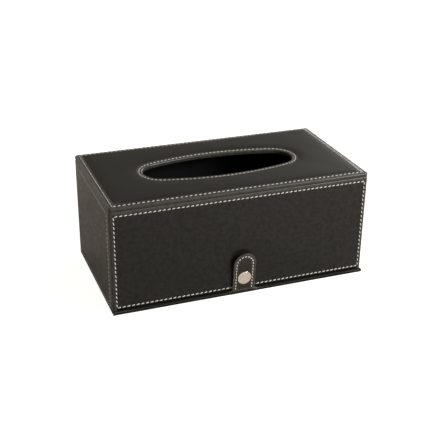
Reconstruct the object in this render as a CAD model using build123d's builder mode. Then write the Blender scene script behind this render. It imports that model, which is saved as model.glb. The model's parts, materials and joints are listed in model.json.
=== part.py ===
"""Leather-covered tissue box with a slide-out base drawer and a press-stud strap.

Frame: X to the right, Y to the rear, Z up, in millimetres. The floor is z = 0 and
the origin is the bottom centre of the whole object, strap included.
"""
import os
from math import asin, cos, hypot, radians, sin

from build123d import *

# ---- Driving sizes ---------------------------------------------------------
# Casing, over its leather
body_width = 238.0
body_depth = 127.0
body_height = 96.3
lid_thickness = 3.7
crown = 1.6

# Sheet and board stock
panel_board = 3.0
lid_board = 2.1
leather = 0.8
flannel = 0.4

# Corners and rolled edges
corner_radius = 2.8
top_edge_roll = 1.3
floor_edge_roll = 0.6
slot_edge_roll = 1.0
lid_top_roll = 1.9
lid_bottom_bevel = 0.8
opening_bevel = 0.7
board_edge_break = 0.4

# How far the leather wraps round a corner and turns in under the lid
front_wrap = 6.0
corner_tab_lift = 0.4
turn_in = 6.0

# Oval opening in the lid, and the seams that hold the padding down
opening_length = 143.0
opening_width = 50.0
opening_end_radius = 17.5
lid_seam_inset = 3.6
opening_seam_outset = 3.3

# Padding of the lid: how far it runs in from a seam before it is full, its steps on
# the way, and its corner radius at the seam and where it is full
padding_run = 11.0
padding_steps = 4
padding_seam_radius = 3.5
padding_full_radius = 12.0

# Runners of the drawer: a channel on each side wall
runner_wall = 0.8
runner_flange = 0.7
runner_reach = 5.8
runner_lift = 0.3
slide_clearance = 0.2
side_clearance = 0.4
rear_clearance = 0.5

# Drawer: a flat tray with a full-width lip in front of the walls
tray_board = 1.6
drawer_leather = 0.6
drawer_flannel = 0.3
lip_reach = 2.0
lip_gap = 0.3
lip_lift = 0.2
lip_core_depth = 7.6
lip_flap = 2.0
slot_clearance = 0.6

# Strap, hinged where it leaves the lip
strap_width = 21.0
strap_length = 36.5
strap_leather = 0.8
strap_stiffener = 0.4
strap_margin = 3.4
strap_lean = 5.5
strap_root_gap = 0.3
strap_lift = 0.25
strap_root_roll = 0.75
strap_tail_setback = 0.4

# Press stud: cap and socket on the strap, stud and rivet in the front wall
stud_level = 16.7
cap_diameter = 12.6
cap_rim = 0.45
cap_rim_roll = 0.2
cap_dome = 0.75
cap_dome_steps = 4
cap_post_diameter = 2.8
cap_post_clearance = 0.05
socket_diameter = 9.6
socket_flange = 0.45
socket_bore = 4.4
socket_wall = 0.6
socket_roof = 0.3
stud_diameter = 3.4
stud_flange_diameter = 8.0
stud_flange = 0.35
stud_height = 1.5
stud_neck_diameter = 3.0
stud_neck = 0.4
stud_bevel = 0.3
rivet_diameter = 2.0
rivet_head_diameter = 8.0
rivet_head = 0.5
rivet_depth_in_stud = 0.9
rivet_clearance = 0.05

# ---- Places worked out from those sizes ------------------------------------
lean_sin = sin(radians(strap_lean))
lean_cos = cos(radians(strap_lean))

# The strap's free end is the object's foremost point.
hinge_reach = strap_root_gap + strap_leather
strap_reach = hinge_reach + strap_length * lean_sin + strap_leather * lean_cos
overall_depth = body_depth + strap_reach
front_y = strap_reach - overall_depth / 2
rear_y = overall_depth / 2
mid_y = (front_y + rear_y) / 2

half_width = body_width / 2
board_back = leather + panel_board
board_inner_x = half_width - board_back
board_inner_front = front_y + board_back
board_inner_rear = rear_y - board_back
board_top = body_height - leather
lining_inner_x = board_inner_x - flannel

side_seam_y = front_y + front_wrap
rear_seam_x = half_width - corner_radius

lid_bottom = body_height
lid_board_bottom = lid_bottom + leather
lid_board_top = lid_board_bottom + lid_board
rim_top = lid_board_top + leather
top_lining_inset = board_back + turn_in

# The drawer's layers, from the floor up, and the channel around them
tray_bottom = runner_lift + runner_flange + slide_clearance
tray_board_bottom = tray_bottom + drawer_leather
tray_board_top = tray_board_bottom + tray_board
tray_top = tray_board_top + drawer_flannel
runner_top = tray_top + slide_clearance + runner_flange
runner_inner_x = board_inner_x - runner_wall
tray_half_width = runner_inner_x - side_clearance
tray_rear = board_inner_rear - rear_clearance

lip_front = front_y - lip_reach
lip_top = tray_board_top + drawer_leather
lip_radius = (lip_top - lip_lift) / 2
lip_core_back = lip_front + drawer_leather + lip_core_depth
lip_back = lip_core_back + drawer_leather
flap_end = lip_core_back + lip_flap
runner_front = flap_end + rear_clearance
slot_height = lip_top + slot_clearance

hinge_y = front_y - hinge_reach
hinge_z = lip_top + strap_lift + strap_leather
tail_top = hinge_z - strap_leather - strap_lift
tail_bottom = tail_top - strap_leather
tail_front = lip_front + strap_tail_setback

# The strap is drawn in its own plane: Y runs up the strap, Z points outwards.
strap_plane = Plane(
    origin=(0, hinge_y, hinge_z), x_dir=(1, 0, 0), z_dir=(0, -lean_cos, -lean_sin)
)
stud_along_strap = (stud_level - hinge_z) / lean_cos
socket_radius = socket_bore / 2 + socket_wall

os.makedirs("parts", exist_ok=True)


# ---- Shared shapes ---------------------------------------------------------
def finish(piece, name):
    """Label a finished piece and write it."""
    piece.part.label = name
    export_step(piece.part, f"parts/{name}.step")


def box_between(low, high, mode=Mode.ADD):
    """Put a box into the current part, given two opposite corners."""
    sizes = [high[i] - low[i] for i in range(3)]
    middle = [(high[i] + low[i]) / 2 for i in range(3)]
    with Locations(tuple(middle)):
        Box(*sizes, mode=mode)


def casing_outline(inset, radius, height):
    """Rounded outline on a level plane, an inset within the casing's faces."""
    with BuildSketch(Plane((0, mid_y, height))) as outline:
        RectangleRounded(body_width - 2 * inset, body_depth - 2 * inset, radius)
    return outline.sketch


def oval_outline(outset, height):
    """The opening's oval of two long and two end arcs, grown by an outset."""
    reach = opening_length / 2
    breadth = opening_width / 2
    end_x = reach - opening_end_radius
    side_radius = (end_x**2 + breadth**2 - opening_end_radius**2) / (
        2 * (breadth - opening_end_radius)
    )
    side_drop = side_radius - breadth
    share = (side_radius + outset) / hypot(end_x, side_drop)
    join_x = end_x * share
    join_y = side_drop * (share - 1)
    with BuildSketch(Plane((0, mid_y, height))) as outline:
        with BuildLine():
            for side in (1, -1):
                long_arc_start = (-side * join_x, side * join_y)
                long_arc_end = (side * join_x, side * join_y)
                end_arc_end = (side * join_x, -side * join_y)
                ThreePointArc(long_arc_start, (0, side * (breadth + outset)), long_arc_end)
                ThreePointArc(long_arc_end, (side * (reach + outset), 0), end_arc_end)
        make_face()
    return outline.sketch


def casing_block(inset, bottom, top):
    """Solid block that lies an inset within the casing's outer faces."""
    radius = max(corner_radius - inset, board_edge_break)
    with BuildPart() as block:
        extrude(casing_outline(inset, radius, bottom), amount=top - bottom)
    return block.part


def cut_room(inset):
    """Clear the room inside the walls, an inset within the casing's faces."""
    box_between(
        (inset - half_width, front_y + inset, -1),
        (half_width - inset, rear_y - inset, body_height + 1),
        mode=Mode.SUBTRACT,
    )


def cut_slot(height):
    """Clear the front wall up to a height, so that the drawer passes below it."""
    box_between(
        (-board_inner_x, front_y - 1, -1),
        (board_inner_x, board_inner_front + 1, height),
        mode=Mode.SUBTRACT,
    )


def keep_between(low, high):
    """Keep only what lies in a box."""
    box_between(low, high, mode=Mode.INTERSECT)


# ---- Wall boards: the side walls run full depth, the others stand between ----
with BuildPart() as board_ring:
    add(casing_block(leather, leather, board_top))
    cut_room(board_back)
    cut_slot(slot_height + leather)

with BuildPart() as left_board:
    add(board_ring.part)
    keep_between((-half_width, front_y, 0), (-board_inner_x, rear_y, body_height))
finish(left_board, "left_board")

with BuildPart() as right_board:
    add(board_ring.part)
    keep_between((board_inner_x, front_y, 0), (half_width, rear_y, body_height))
finish(right_board, "right_board")

with BuildPart() as rear_board:
    add(board_ring.part)
    keep_between((-board_inner_x, mid_y, 0), (board_inner_x, rear_y, body_height))
finish(rear_board, "rear_board")

# The front board is drilled for the stud's rivet and counterbored behind.
stud_plane = Plane(origin=(0, front_y, stud_level), x_dir=(1, 0, 0), z_dir=(0, -1, 0))
from_plane = (Align.CENTER, Align.CENTER, Align.MIN)
rivet_hole_radius = rivet_diameter / 2 + rivet_clearance
with BuildPart() as front_board:
    add(board_ring.part)
    keep_between((-board_inner_x, front_y, 0), (board_inner_x, mid_y, body_height))
    with Locations(stud_plane.offset(-board_back)):
        Cylinder(rivet_hole_radius, board_back, align=from_plane, mode=Mode.SUBTRACT)
        Cylinder(
            rivet_head_diameter / 2 + rivet_clearance,
            rivet_head,
            align=from_plane,
            mode=Mode.SUBTRACT,
        )
finish(front_board, "front_board")


# ---- Wall leather: one skin over the boards, cut at its seams -----------------
with BuildPart() as leather_ring:
    add(casing_block(0, 0, body_height))
    fillet(leather_ring.faces().sort_by(Axis.Z)[-1].edges(), radius=top_edge_roll)
    fillet(leather_ring.faces().sort_by(Axis.Z)[0].edges(), radius=floor_edge_roll)
    cut_room(board_back)
    cut_slot(slot_height)
    slot_edges = leather_ring.edges().filter_by(Axis.X).filter_by_position(
        Axis.Z, slot_height, slot_height
    )
    fillet(slot_edges.sort_by(Axis.Y)[0], radius=slot_edge_roll)
    add(board_ring.part, mode=Mode.SUBTRACT)

# The front leather goes round both front corners and hangs just off the floor.
with BuildPart() as front_cover:
    add(leather_ring.part)
    keep_between(
        (-half_width, front_y, corner_tab_lift),
        (half_width, side_seam_y, body_height),
    )
    with Locations(stud_plane):
        Cylinder(rivet_hole_radius, 2 * leather, mode=Mode.SUBTRACT)
finish(front_cover, "front_cover")

with BuildPart() as rear_cover:
    add(leather_ring.part)
    keep_between(
        (-rear_seam_x, board_inner_rear, 0), (rear_seam_x, rear_y, body_height)
    )
finish(rear_cover, "rear_cover")

for name, side in (("left_cover", -1), ("right_cover", 1)):
    with BuildPart() as side_cover:
        add(leather_ring.part)
        box_between(
            (-rear_seam_x, board_inner_rear, -1),
            (rear_seam_x, rear_y + 1, body_height + 1),
            mode=Mode.SUBTRACT,
        )
        keep_between(
            (min(0, side * half_width), side_seam_y, 0),
            (max(0, side * half_width), rear_y, body_height),
        )
    finish(side_cover, name)


# ---- Wall linings of flannel ---------------------------------------------------
with BuildPart() as lining_ring:
    add(casing_block(board_back, runner_top, board_top))
    cut_room(board_back + flannel)
    cut_slot(slot_height + leather)

with BuildPart() as front_lining:
    add(lining_ring.part)
    keep_between((-lining_inner_x, front_y, 0), (lining_inner_x, mid_y, body_height))
finish(front_lining, "front_lining")

with BuildPart() as rear_lining:
    add(lining_ring.part)
    keep_between((-lining_inner_x, mid_y, 0), (lining_inner_x, rear_y, body_height))
finish(rear_lining, "rear_lining")

for name, side in (("left_lining", -1), ("right_lining", 1)):
    with BuildPart() as side_lining:
        add(lining_ring.part)
        keep_between(
            (min(side * lining_inner_x, side * half_width), front_y, 0),
            (max(side * lining_inner_x, side * half_width), rear_y, body_height),
        )
    finish(side_lining, name)


# ---- Padded lid: board, foam, leather and lining --------------------------------
def padding(floor):
    """Pad that curves up from the outer seam and down again to the oval seam."""
    outer_sections = []
    oval_sections = []
    for step in range(padding_steps + 1):
        share = step / padding_steps
        run = share * padding_run
        height = floor + crown * (1 - (1 - share) ** 2)
        radius = padding_seam_radius + share * (padding_full_radius - padding_seam_radius)
        outer_sections.append(casing_outline(lid_seam_inset + run, radius, height))
        oval_sections.append(oval_outline(opening_seam_outset + run, height))
    with BuildPart() as pad:
        loft(outer_sections, ruled=True)
        loft(oval_sections, ruled=True, mode=Mode.SUBTRACT)
    return pad.part


with BuildPart() as top_board:
    extrude(
        casing_outline(leather, corner_radius - leather, lid_board_bottom),
        amount=lid_board,
    )
    fillet(top_board.faces().sort_by(Axis.Z)[-1].edges(), radius=lid_top_roll - leather)
    extrude(oval_outline(leather, lid_board_bottom), amount=lid_board, mode=Mode.SUBTRACT)
finish(top_board, "top_board")

with BuildPart() as top_foam:
    add(padding(lid_board_top))
finish(top_foam, "top_foam")

with BuildPart() as top_cover:
    extrude(casing_outline(0, corner_radius, lid_bottom), amount=lid_thickness)
    fillet(top_cover.faces().sort_by(Axis.Z)[-1].edges(), radius=lid_top_roll)
    chamfer(top_cover.faces().sort_by(Axis.Z)[0].edges(), length=lid_bottom_bevel)
    extrude(oval_outline(0, lid_bottom), amount=lid_thickness, mode=Mode.SUBTRACT)
    oval_edges = top_cover.faces().sort_by(Axis.Z)[-1].inner_wires().edges()
    chamfer(oval_edges, length=opening_bevel)
    add(padding(rim_top))
    add(top_board.part, mode=Mode.SUBTRACT)
    add(top_foam.part, mode=Mode.SUBTRACT)
    with BuildSketch(Plane.XY.offset(lid_bottom)):
        add(casing_outline(top_lining_inset, corner_radius, lid_bottom))
        add(oval_outline(turn_in, lid_bottom), mode=Mode.SUBTRACT)
    extrude(amount=leather, mode=Mode.SUBTRACT)
finish(top_cover, "top_cover")

with BuildPart() as top_lining:
    with BuildSketch(Plane.XY.offset(lid_board_bottom)):
        add(casing_outline(top_lining_inset, corner_radius, lid_board_bottom))
        add(oval_outline(turn_in, lid_board_bottom), mode=Mode.SUBTRACT)
    extrude(amount=-flannel)
finish(top_lining, "top_lining")


# ---- Runners: a channel on each side wall that holds the tray's edge --------------
runner_height = runner_top - runner_lift
runner_middle = (runner_top + runner_lift) / 2
for name, side in (("left_runner", -1), ("right_runner", 1)):
    with BuildPart() as runner:
        with BuildSketch(Plane.XZ.offset(-board_inner_rear)):
            with Locations((side * (board_inner_x - runner_reach / 2), runner_middle)):
                Rectangle(runner_reach, runner_height)
            with Locations((side * (runner_inner_x - runner_reach / 2), runner_middle)):
                Rectangle(
                    runner_reach,
                    runner_height - 2 * runner_flange,
                    mode=Mode.SUBTRACT,
                )
        extrude(amount=board_inner_rear - runner_front)
    finish(runner, name)


# ---- Drawer: flat tray, lip core, leather, lining and the strap's tail --------------
def lip_section(inset, back):
    """Side view of the lip, round in front, an inset within its leather."""
    nose_y = lip_front + lip_radius
    nose_z = lip_lift + lip_radius
    with BuildSketch(Plane.YZ) as section:
        with Locations((nose_y, nose_z)):
            Circle(lip_radius - inset)
        with Locations(((nose_y + back) / 2, nose_z)):
            Rectangle(back - nose_y, 2 * (lip_radius - inset))
    return section.sketch


def notch_for_walls(half_span):
    """Narrow the lip behind its front strip, to pass between the side walls."""
    for side in (-1, 1):
        box_between(
            (min(side * half_span, side * body_width), front_y - lip_gap, -1),
            (max(side * half_span, side * body_width), rear_y, lip_top + 1),
            mode=Mode.SUBTRACT,
        )


with BuildPart() as strap_anchor:
    box_between(
        (-strap_width / 2, tail_front, tail_bottom),
        (strap_width / 2, flap_end, tail_top),
    )
finish(strap_anchor, "strap_anchor")

with BuildPart() as drawer_board:
    box_between(
        (-tray_half_width, lip_core_back, tray_board_bottom),
        (tray_half_width, tray_rear, tray_board_top),
    )
    add(strap_anchor.part, mode=Mode.SUBTRACT)
finish(drawer_board, "drawer_board")

with BuildPart() as lip_core:
    extrude(
        lip_section(drawer_leather, lip_core_back),
        amount=half_width - drawer_leather,
        both=True,
    )
    notch_for_walls(tray_half_width - drawer_leather)
    add(strap_anchor.part, mode=Mode.SUBTRACT)
finish(lip_core, "lip_core")

with BuildPart() as drawer_cover:
    extrude(lip_section(0, lip_back), amount=half_width, both=True)
    notch_for_walls(tray_half_width)
    box_between(
        (-tray_half_width, lip_back, tray_bottom),
        (tray_half_width, tray_rear, tray_board_bottom),
    )
    box_between(
        (-tray_half_width, lip_back, tray_board_top),
        (tray_half_width, flap_end, lip_top),
    )
    for inner_piece in (lip_core, drawer_board, strap_anchor):
        add(inner_piece.part, mode=Mode.SUBTRACT)
finish(drawer_cover, "drawer_cover")

with BuildPart() as drawer_lining:
    box_between(
        (-tray_half_width, flap_end, tray_board_top),
        (tray_half_width, tray_rear, tray_top),
    )
finish(drawer_lining, "drawer_lining")


# ---- Press stud: the half on the strap --------------------------------------------
snap_plane = Plane(
    origin=strap_plane.from_local_coords((0, stud_along_strap, 0)),
    x_dir=(1, 0, 0),
    z_dir=strap_plane.z_dir,
)
socket_foot = snap_plane.offset(-strap_leather - socket_flange)
socket_depth = socket_flange + strap_leather + strap_stiffener / 2
post_hole_radius = cap_post_diameter / 2 + cap_post_clearance

with BuildPart() as snap_socket:
    with Locations(socket_foot):
        Cylinder(socket_diameter / 2, socket_flange, align=from_plane)
        Cylinder(socket_radius, socket_depth, align=from_plane)
        Cylinder(
            socket_bore / 2,
            socket_depth - socket_roof,
            align=from_plane,
            mode=Mode.SUBTRACT,
        )
        Cylinder(post_hole_radius, socket_depth, align=from_plane, mode=Mode.SUBTRACT)
finish(snap_socket, "snap_socket")

cap_radius = cap_diameter / 2
dome_radius = (cap_radius**2 + cap_dome**2) / (2 * cap_dome)
dome_angle = asin(cap_radius / dome_radius)
cap_section = Plane(
    origin=snap_plane.offset(strap_leather).origin,
    x_dir=(1, 0, 0),
    z_dir=-snap_plane.y_dir,
)
dome_points = []
for step in range(cap_dome_steps + 1):
    angle = dome_angle * step / cap_dome_steps
    dome_drop = dome_radius * (1 - cos(angle))
    dome_points.append((dome_radius * sin(angle), cap_rim + cap_dome - dome_drop))
with BuildPart() as snap_cap:
    with BuildSketch(cap_section) as half_section:
        with BuildLine():
            Polyline((0, 0), *dome_points, (cap_radius, 0), close=True)
        make_face()
        chamfer(half_section.vertices().sort_by(Axis.X)[-2:], length=cap_rim_roll)
    revolve(axis=Axis(snap_plane.origin, snap_plane.z_dir))
    with Locations(snap_plane.offset(strap_stiffener / 2 - socket_roof)):
        Cylinder(
            cap_post_diameter / 2,
            strap_leather - strap_stiffener / 2 + socket_roof,
            align=from_plane,
        )
finish(snap_cap, "snap_cap")


# ---- Strap: face and back leather around a stiffener --------------------------------
def strap_outline(margin, foot):
    """The strap from the front: straight sides and a round free end."""
    shoulder = strap_length - strap_width / 2
    with BuildSketch(strap_plane) as outline:
        with Locations((0, (foot + shoulder) / 2)):
            Rectangle(strap_width - 2 * margin, shoulder - foot)
        with Locations((0, shoulder)):
            Circle(strap_width / 2 - margin)
    return outline.sketch


with BuildPart() as strap_core:
    extrude(
        strap_outline(strap_margin, strap_margin), amount=strap_stiffener / 2, both=True
    )
    with Locations(snap_plane):
        Cylinder(socket_radius, strap_stiffener, mode=Mode.SUBTRACT)
finish(strap_core, "strap_core")

with BuildPart() as strap_face:
    extrude(strap_outline(0, -strap_leather), amount=strap_leather)
    root_edges = strap_face.edges().filter_by(Axis.X)
    fillet(root_edges.sort_by(Axis.Y)[0], radius=strap_root_roll)
    extrude(
        strap_outline(strap_margin, strap_margin),
        amount=strap_stiffener / 2,
        mode=Mode.SUBTRACT,
    )
    with Locations(snap_plane):
        Cylinder(post_hole_radius, 2 * strap_leather, mode=Mode.SUBTRACT)
finish(strap_face, "strap_face")

with BuildPart() as strap_back:
    extrude(strap_outline(0, -strap_leather), amount=-strap_leather)
    root_edges = strap_back.edges().filter_by(Axis.X)
    fillet(root_edges.sort_by(Axis.Y)[-1], radius=strap_root_roll)
    extrude(
        strap_outline(strap_margin, strap_margin),
        amount=-strap_stiffener / 2,
        mode=Mode.SUBTRACT,
    )
    with Locations(snap_plane):
        Cylinder(socket_radius, 2 * strap_leather, mode=Mode.SUBTRACT)
finish(strap_back, "strap_back")


# ---- Press stud: the half in the front wall -------------------------------------------
stud_axis = Axis(stud_plane.origin, stud_plane.z_dir)
stud_section = Plane(origin=stud_plane.origin, x_dir=(1, 0, 0), z_dir=(0, 0, -1))
neck_radius = stud_neck_diameter / 2
head_radius = stud_diameter / 2
head_foot = stud_flange + stud_neck
with BuildPart() as snap_stud:
    with BuildSketch(stud_section):
        with BuildLine():
            Polyline(
                (0, 0),
                (stud_flange_diameter / 2, 0),
                (stud_flange_diameter / 2, stud_flange),
                (neck_radius, stud_flange),
                (neck_radius, head_foot),
                (head_radius, head_foot + stud_bevel),
                (head_radius, stud_height - stud_bevel),
                (head_radius - stud_bevel, stud_height),
                (0, stud_height),
                close=True,
            )
        make_face()
    revolve(axis=stud_axis)
    with Locations(stud_plane):
        Cylinder(
            rivet_hole_radius,
            rivet_depth_in_stud,
            align=from_plane,
            mode=Mode.SUBTRACT,
        )
finish(snap_stud, "snap_stud")

with BuildPart() as snap_rivet:
    with Locations(stud_plane.offset(-board_back)):
        Cylinder(rivet_head_diameter / 2, rivet_head, align=from_plane)
        Cylinder(rivet_diameter / 2, board_back + rivet_depth_in_stud, align=from_plane)
finish(snap_rivet, "snap_rivet")
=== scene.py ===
"""Looks of a leather tissue box with a slide-out base, a strap and a press stud.

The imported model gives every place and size. Lengths are in metres, X to the right,
Y to the rear and Z up, and the floor is z = 0.
"""
import json

import bmesh
import bpy
import numpy as np
from mathutils import Matrix, Vector


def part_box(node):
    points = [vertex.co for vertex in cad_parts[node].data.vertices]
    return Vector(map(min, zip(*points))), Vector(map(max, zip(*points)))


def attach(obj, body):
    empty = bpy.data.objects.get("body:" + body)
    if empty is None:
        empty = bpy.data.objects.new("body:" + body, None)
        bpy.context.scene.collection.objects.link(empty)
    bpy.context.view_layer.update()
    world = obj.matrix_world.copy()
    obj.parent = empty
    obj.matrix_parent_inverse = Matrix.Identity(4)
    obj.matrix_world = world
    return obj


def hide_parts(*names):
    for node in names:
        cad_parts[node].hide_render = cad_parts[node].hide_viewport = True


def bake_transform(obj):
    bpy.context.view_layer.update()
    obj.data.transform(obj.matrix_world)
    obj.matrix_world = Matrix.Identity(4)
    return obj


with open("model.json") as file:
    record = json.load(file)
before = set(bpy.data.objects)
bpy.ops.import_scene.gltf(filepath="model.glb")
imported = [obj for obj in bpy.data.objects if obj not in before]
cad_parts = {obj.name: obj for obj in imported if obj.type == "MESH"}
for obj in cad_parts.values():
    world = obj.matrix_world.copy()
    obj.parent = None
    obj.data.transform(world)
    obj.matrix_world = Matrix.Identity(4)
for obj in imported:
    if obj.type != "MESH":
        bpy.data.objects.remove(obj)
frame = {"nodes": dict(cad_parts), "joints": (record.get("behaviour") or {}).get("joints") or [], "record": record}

bl_info = {
    "name": "Leather Tissue Box",
    "version": (1, 0, 0),
    "blender": (4, 5, 0),
    "location": "View3D > Sidebar > Tissue Box",
    "description": "Padded lid, stitched leather, strap and press stud of the tissue box",
    "category": "Object",
}

MM = 0.001
TURN = 2 * np.pi
HAIR = 0.02 * MM  # gap kept between skins that would touch

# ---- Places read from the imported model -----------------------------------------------
casing_low, casing_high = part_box("front_cover")
half_width = casing_high.x
front_y = casing_low.y
rear_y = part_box("rear_cover")[1].y
mid_y = (front_y + rear_y) / 2
half_depth = (rear_y - front_y) / 2
wall_top = casing_high.z
wrap_end_y = casing_high.y
inner_front_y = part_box("front_board")[1].y
inner_rear_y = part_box("rear_board")[0].y
inner_half_x = -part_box("left_board")[1].x
rear_seam_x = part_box("rear_cover")[1].x
leather_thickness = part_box("front_board")[0].y - front_y
slot_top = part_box("front_board")[0].z - leather_thickness
tab_bottom = casing_low.z

lid_bottom, lid_crown_top = (corner.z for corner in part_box("top_cover"))
lid_board_bottom, lid_board_top = (corner.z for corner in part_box("top_board"))
lid_rim_top = lid_board_top + leather_thickness
lid_crown = lid_crown_top - lid_rim_top
lid_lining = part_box("top_lining")[1]
lid_seam_inset = half_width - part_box("top_foam")[1].x


# ---- Sizes and colours a user may change ---------------------------------------------
def size_setting(name, description, default):
    """A length that a user may change, in metres."""
    return bpy.props.FloatProperty(
        name=name, description=description, default=default, unit="LENGTH"
    )


def colour_setting(name, description, default):
    """A colour that a user may change."""
    return bpy.props.FloatVectorProperty(
        name=name, description=description, default=default + (1,), subtype="COLOR",
        size=4, min=0, max=1,
    )


def number_setting(name, description, default):
    """A plain number that a user may change."""
    return bpy.props.FloatProperty(name=name, description=description, default=default)


class TissueBoxSizes(bpy.types.PropertyGroup):
    """Sizes of what the leather worker adds: seams, stitches and rolled edges."""

    opening_length: size_setting("Opening Length", "Length of the oval in the lid", 0.143)
    opening_width: size_setting("Opening Width", "Width of the oval in the lid", 0.050)
    opening_end_radius: size_setting(
        "Opening End Radius", "Radius of the oval's round ends", 0.0175
    )
    opening_seam: size_setting(
        "Opening Seam", "From the opening's edge out to its seam", 0.0033
    )
    corner_radius: size_setting("Corner Radius", "Radius of the upright corners", 0.0028)
    wall_roll: size_setting(
        "Wall Roll", "Radius where the leather turns in under the lid", 0.0013
    )
    floor_roll: size_setting(
        "Floor Roll", "Radius where the leather turns in at the floor", 0.0006
    )
    slot_roll: size_setting(
        "Slot Roll", "Radius where the front leather turns in below", 0.0010
    )
    lid_top_roll: size_setting("Lid Top Roll", "Radius of the lid's upper edge", 0.0019)
    lid_bottom_roll: size_setting(
        "Lid Bottom Roll", "Radius of the lid's lower edge", 0.0012
    )
    opening_roll: size_setting(
        "Opening Roll", "Radius of the leather round the opening's edge", 0.0011
    )
    padding_run: size_setting(
        "Padding Run", "How far from a seam the padding is full", 0.011
    )
    seam_depth: size_setting(
        "Seam Depth", "How deep the thread pulls the leather in", 0.0003
    )
    seam_reach: size_setting("Seam Reach", "Half the width of a seam's furrow", 0.0011)
    stitch_pitch: size_setting(
        "Stitch Pitch", "From one needle hole to the next", 0.0041
    )
    strap_pitch: size_setting(
        "Strap Pitch", "From one needle hole to the next on the strap", 0.0031
    )
    thread_width: size_setting("Thread Width", "Width of a stitch", 0.00082)


class TissueBoxFinishes(bpy.types.PropertyGroup):
    """Colours of the finishes."""

    leather: colour_setting("Leather", "Colour of the leather", (0.0240, 0.0246, 0.0212))
    thread: colour_setting("Thread", "Colour of the stitches", (0.88, 0.86, 0.80))
    flannel: colour_setting("Flannel", "Colour of the lining", (0.006, 0.006, 0.006))
    fibreboard: colour_setting("Fibreboard", "Colour of the boards", (0.36, 0.24, 0.13))
    stiffener: colour_setting(
        "Stiffener", "Colour of the card in lip and strap", (0.05, 0.045, 0.04)
    )
    plastic: colour_setting(
        "Runner Plastic", "Colour of the runners", (0.012, 0.012, 0.013)
    )
    metal: colour_setting(
        "Press Stud Metal", "Colour of the press stud", (0.99, 0.93, 0.87)
    )


class TissueBoxStage(bpy.types.PropertyGroup):
    """Floor, light and camera."""

    lens: number_setting("Lens", "Focal length of the camera in millimetres", 71.4)
    camera_place: bpy.props.FloatVectorProperty(
        name="Camera Place", description="Where the camera stands", subtype="XYZ",
        unit="LENGTH", default=(-0.26815, -0.69901, 0.39969),
    )
    camera_turn: bpy.props.FloatVectorProperty(
        name="Camera Turn", description="How the camera is turned", subtype="EULER",
        default=tuple(np.radians((64.36, -0.819, -20.939)).tolist()),
    )
    room_light: number_setting("Room Light", "Strength of the even light all round", 0.3)
    key_light: number_setting(
        "Key Light", "Power of the lamp in front on the right in watts", 24.0
    )
    sheen_light: number_setting(
        "Sheen Light", "Power of the lamp behind on the right in watts", 14.0
    )
    floor_colour: colour_setting("Floor", "Colour of the floor", (0.70, 0.64, 0.58))


# ---- Tools for modelling -------------------------------------------------------------
def clear_selection():
    """Leave edit mode and deselect everything."""
    active = bpy.context.view_layer.objects.active
    if active and active.mode != "OBJECT":
        bpy.ops.object.mode_set(mode="OBJECT")
    bpy.ops.object.select_all(action="DESELECT")


def take(piece):
    """Make a piece the only selected one, and the active one."""
    clear_selection()
    piece.select_set(True)
    bpy.context.view_layer.objects.active = piece


def settle(piece, name):
    """Name a new primitive and put its place into its mesh."""
    take(piece)
    bpy.ops.object.transform_apply(location=True, rotation=True, scale=True)
    piece.name = name
    piece.data.name = name
    return piece


def add_block(name, low, high):
    """Start a piece as a block between two corners."""
    low, high = Vector(low), Vector(high)
    clear_selection()
    bpy.ops.mesh.primitive_cube_add(size=1, location=(low + high) / 2, scale=high - low)
    return settle(bpy.context.active_object, name)


def pick(piece, kind, wanted):
    """In edit mode, select only the faces, edges or vertices that pass a test."""
    bpy.ops.mesh.select_mode(type=kind)
    bpy.ops.mesh.select_all(action="DESELECT")
    mesh = bmesh.from_edit_mesh(piece.data)
    mesh.normal_update()
    parts = {"VERT": mesh.verts, "EDGE": mesh.edges, "FACE": mesh.faces}[kind]
    chosen = [part for part in parts if wanted(part)]
    for part in chosen:
        part.select_set(True)
    bmesh.update_edit_mesh(piece.data)
    if not chosen:
        raise RuntimeError(f"{piece.name}: no {kind.lower()} passed the test")


def edge_middle(edge):
    """Middle of an edge."""
    return (edge.verts[0].co + edge.verts[1].co) / 2


def edge_runs(edge, axis):
    """True if an edge runs along an axis."""
    way = edge.verts[1].co - edge.verts[0].co
    return abs(way[axis]) > 0.999 * way.length


def near(a, b, reach=HAIR):
    """True if two lengths are the same."""
    return abs(a - b) < reach


def bevel_edges(piece, wanted, radius, steps):
    """Round the edges that pass a test."""
    pick(piece, "EDGE", wanted)
    bpy.ops.mesh.bevel(
        offset=radius, segments=steps, affect="EDGES", offset_type="OFFSET",
        profile=0.5, clamp_overlap=False,
    )


def delete_faces(piece, wanted):
    """Delete the faces that pass a test."""
    pick(piece, "FACE", wanted)
    bpy.ops.mesh.delete(type="FACE")


def cut_across(axis, place, drop_low=False, drop_high=False):
    """Cut all faces of the edited piece with a plane, and drop one side if wanted."""
    bpy.ops.mesh.select_mode(type="FACE")
    bpy.ops.mesh.select_all(action="SELECT")
    point, normal = [0.0] * 3, [0.0] * 3
    point[axis], normal[axis] = place, 1.0
    bpy.ops.mesh.bisect(
        plane_co=point, plane_no=normal, clear_inner=drop_low, clear_outer=drop_high
    )


def finish_modifiers(piece):
    """Apply every modifier of a piece in order."""
    take(piece)
    for modifier in list(piece.modifiers):
        bpy.ops.object.modifier_apply(modifier=modifier.name)


def thicken(piece, thickness):
    """Give a skin its thickness, inwards."""
    wall = piece.modifiers.new("Thickness", "SOLIDIFY")
    wall.thickness = thickness
    wall.offset = -1
    wall.use_even_offset = True
    finish_modifiers(piece)


def smooth(piece, degrees=35):
    """Shade a piece smooth, with its sharper edges kept."""
    take(piece)
    bpy.ops.object.shade_smooth_by_angle(angle=np.radians(degrees))


def end_edit():
    """Merge doubles, point every face outwards and leave edit mode."""
    bpy.ops.mesh.select_all(action="SELECT")
    bpy.ops.mesh.remove_doubles(threshold=1e-6)
    bpy.ops.mesh.normals_make_consistent(inside=False)
    bpy.ops.object.mode_set(mode="OBJECT")


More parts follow.
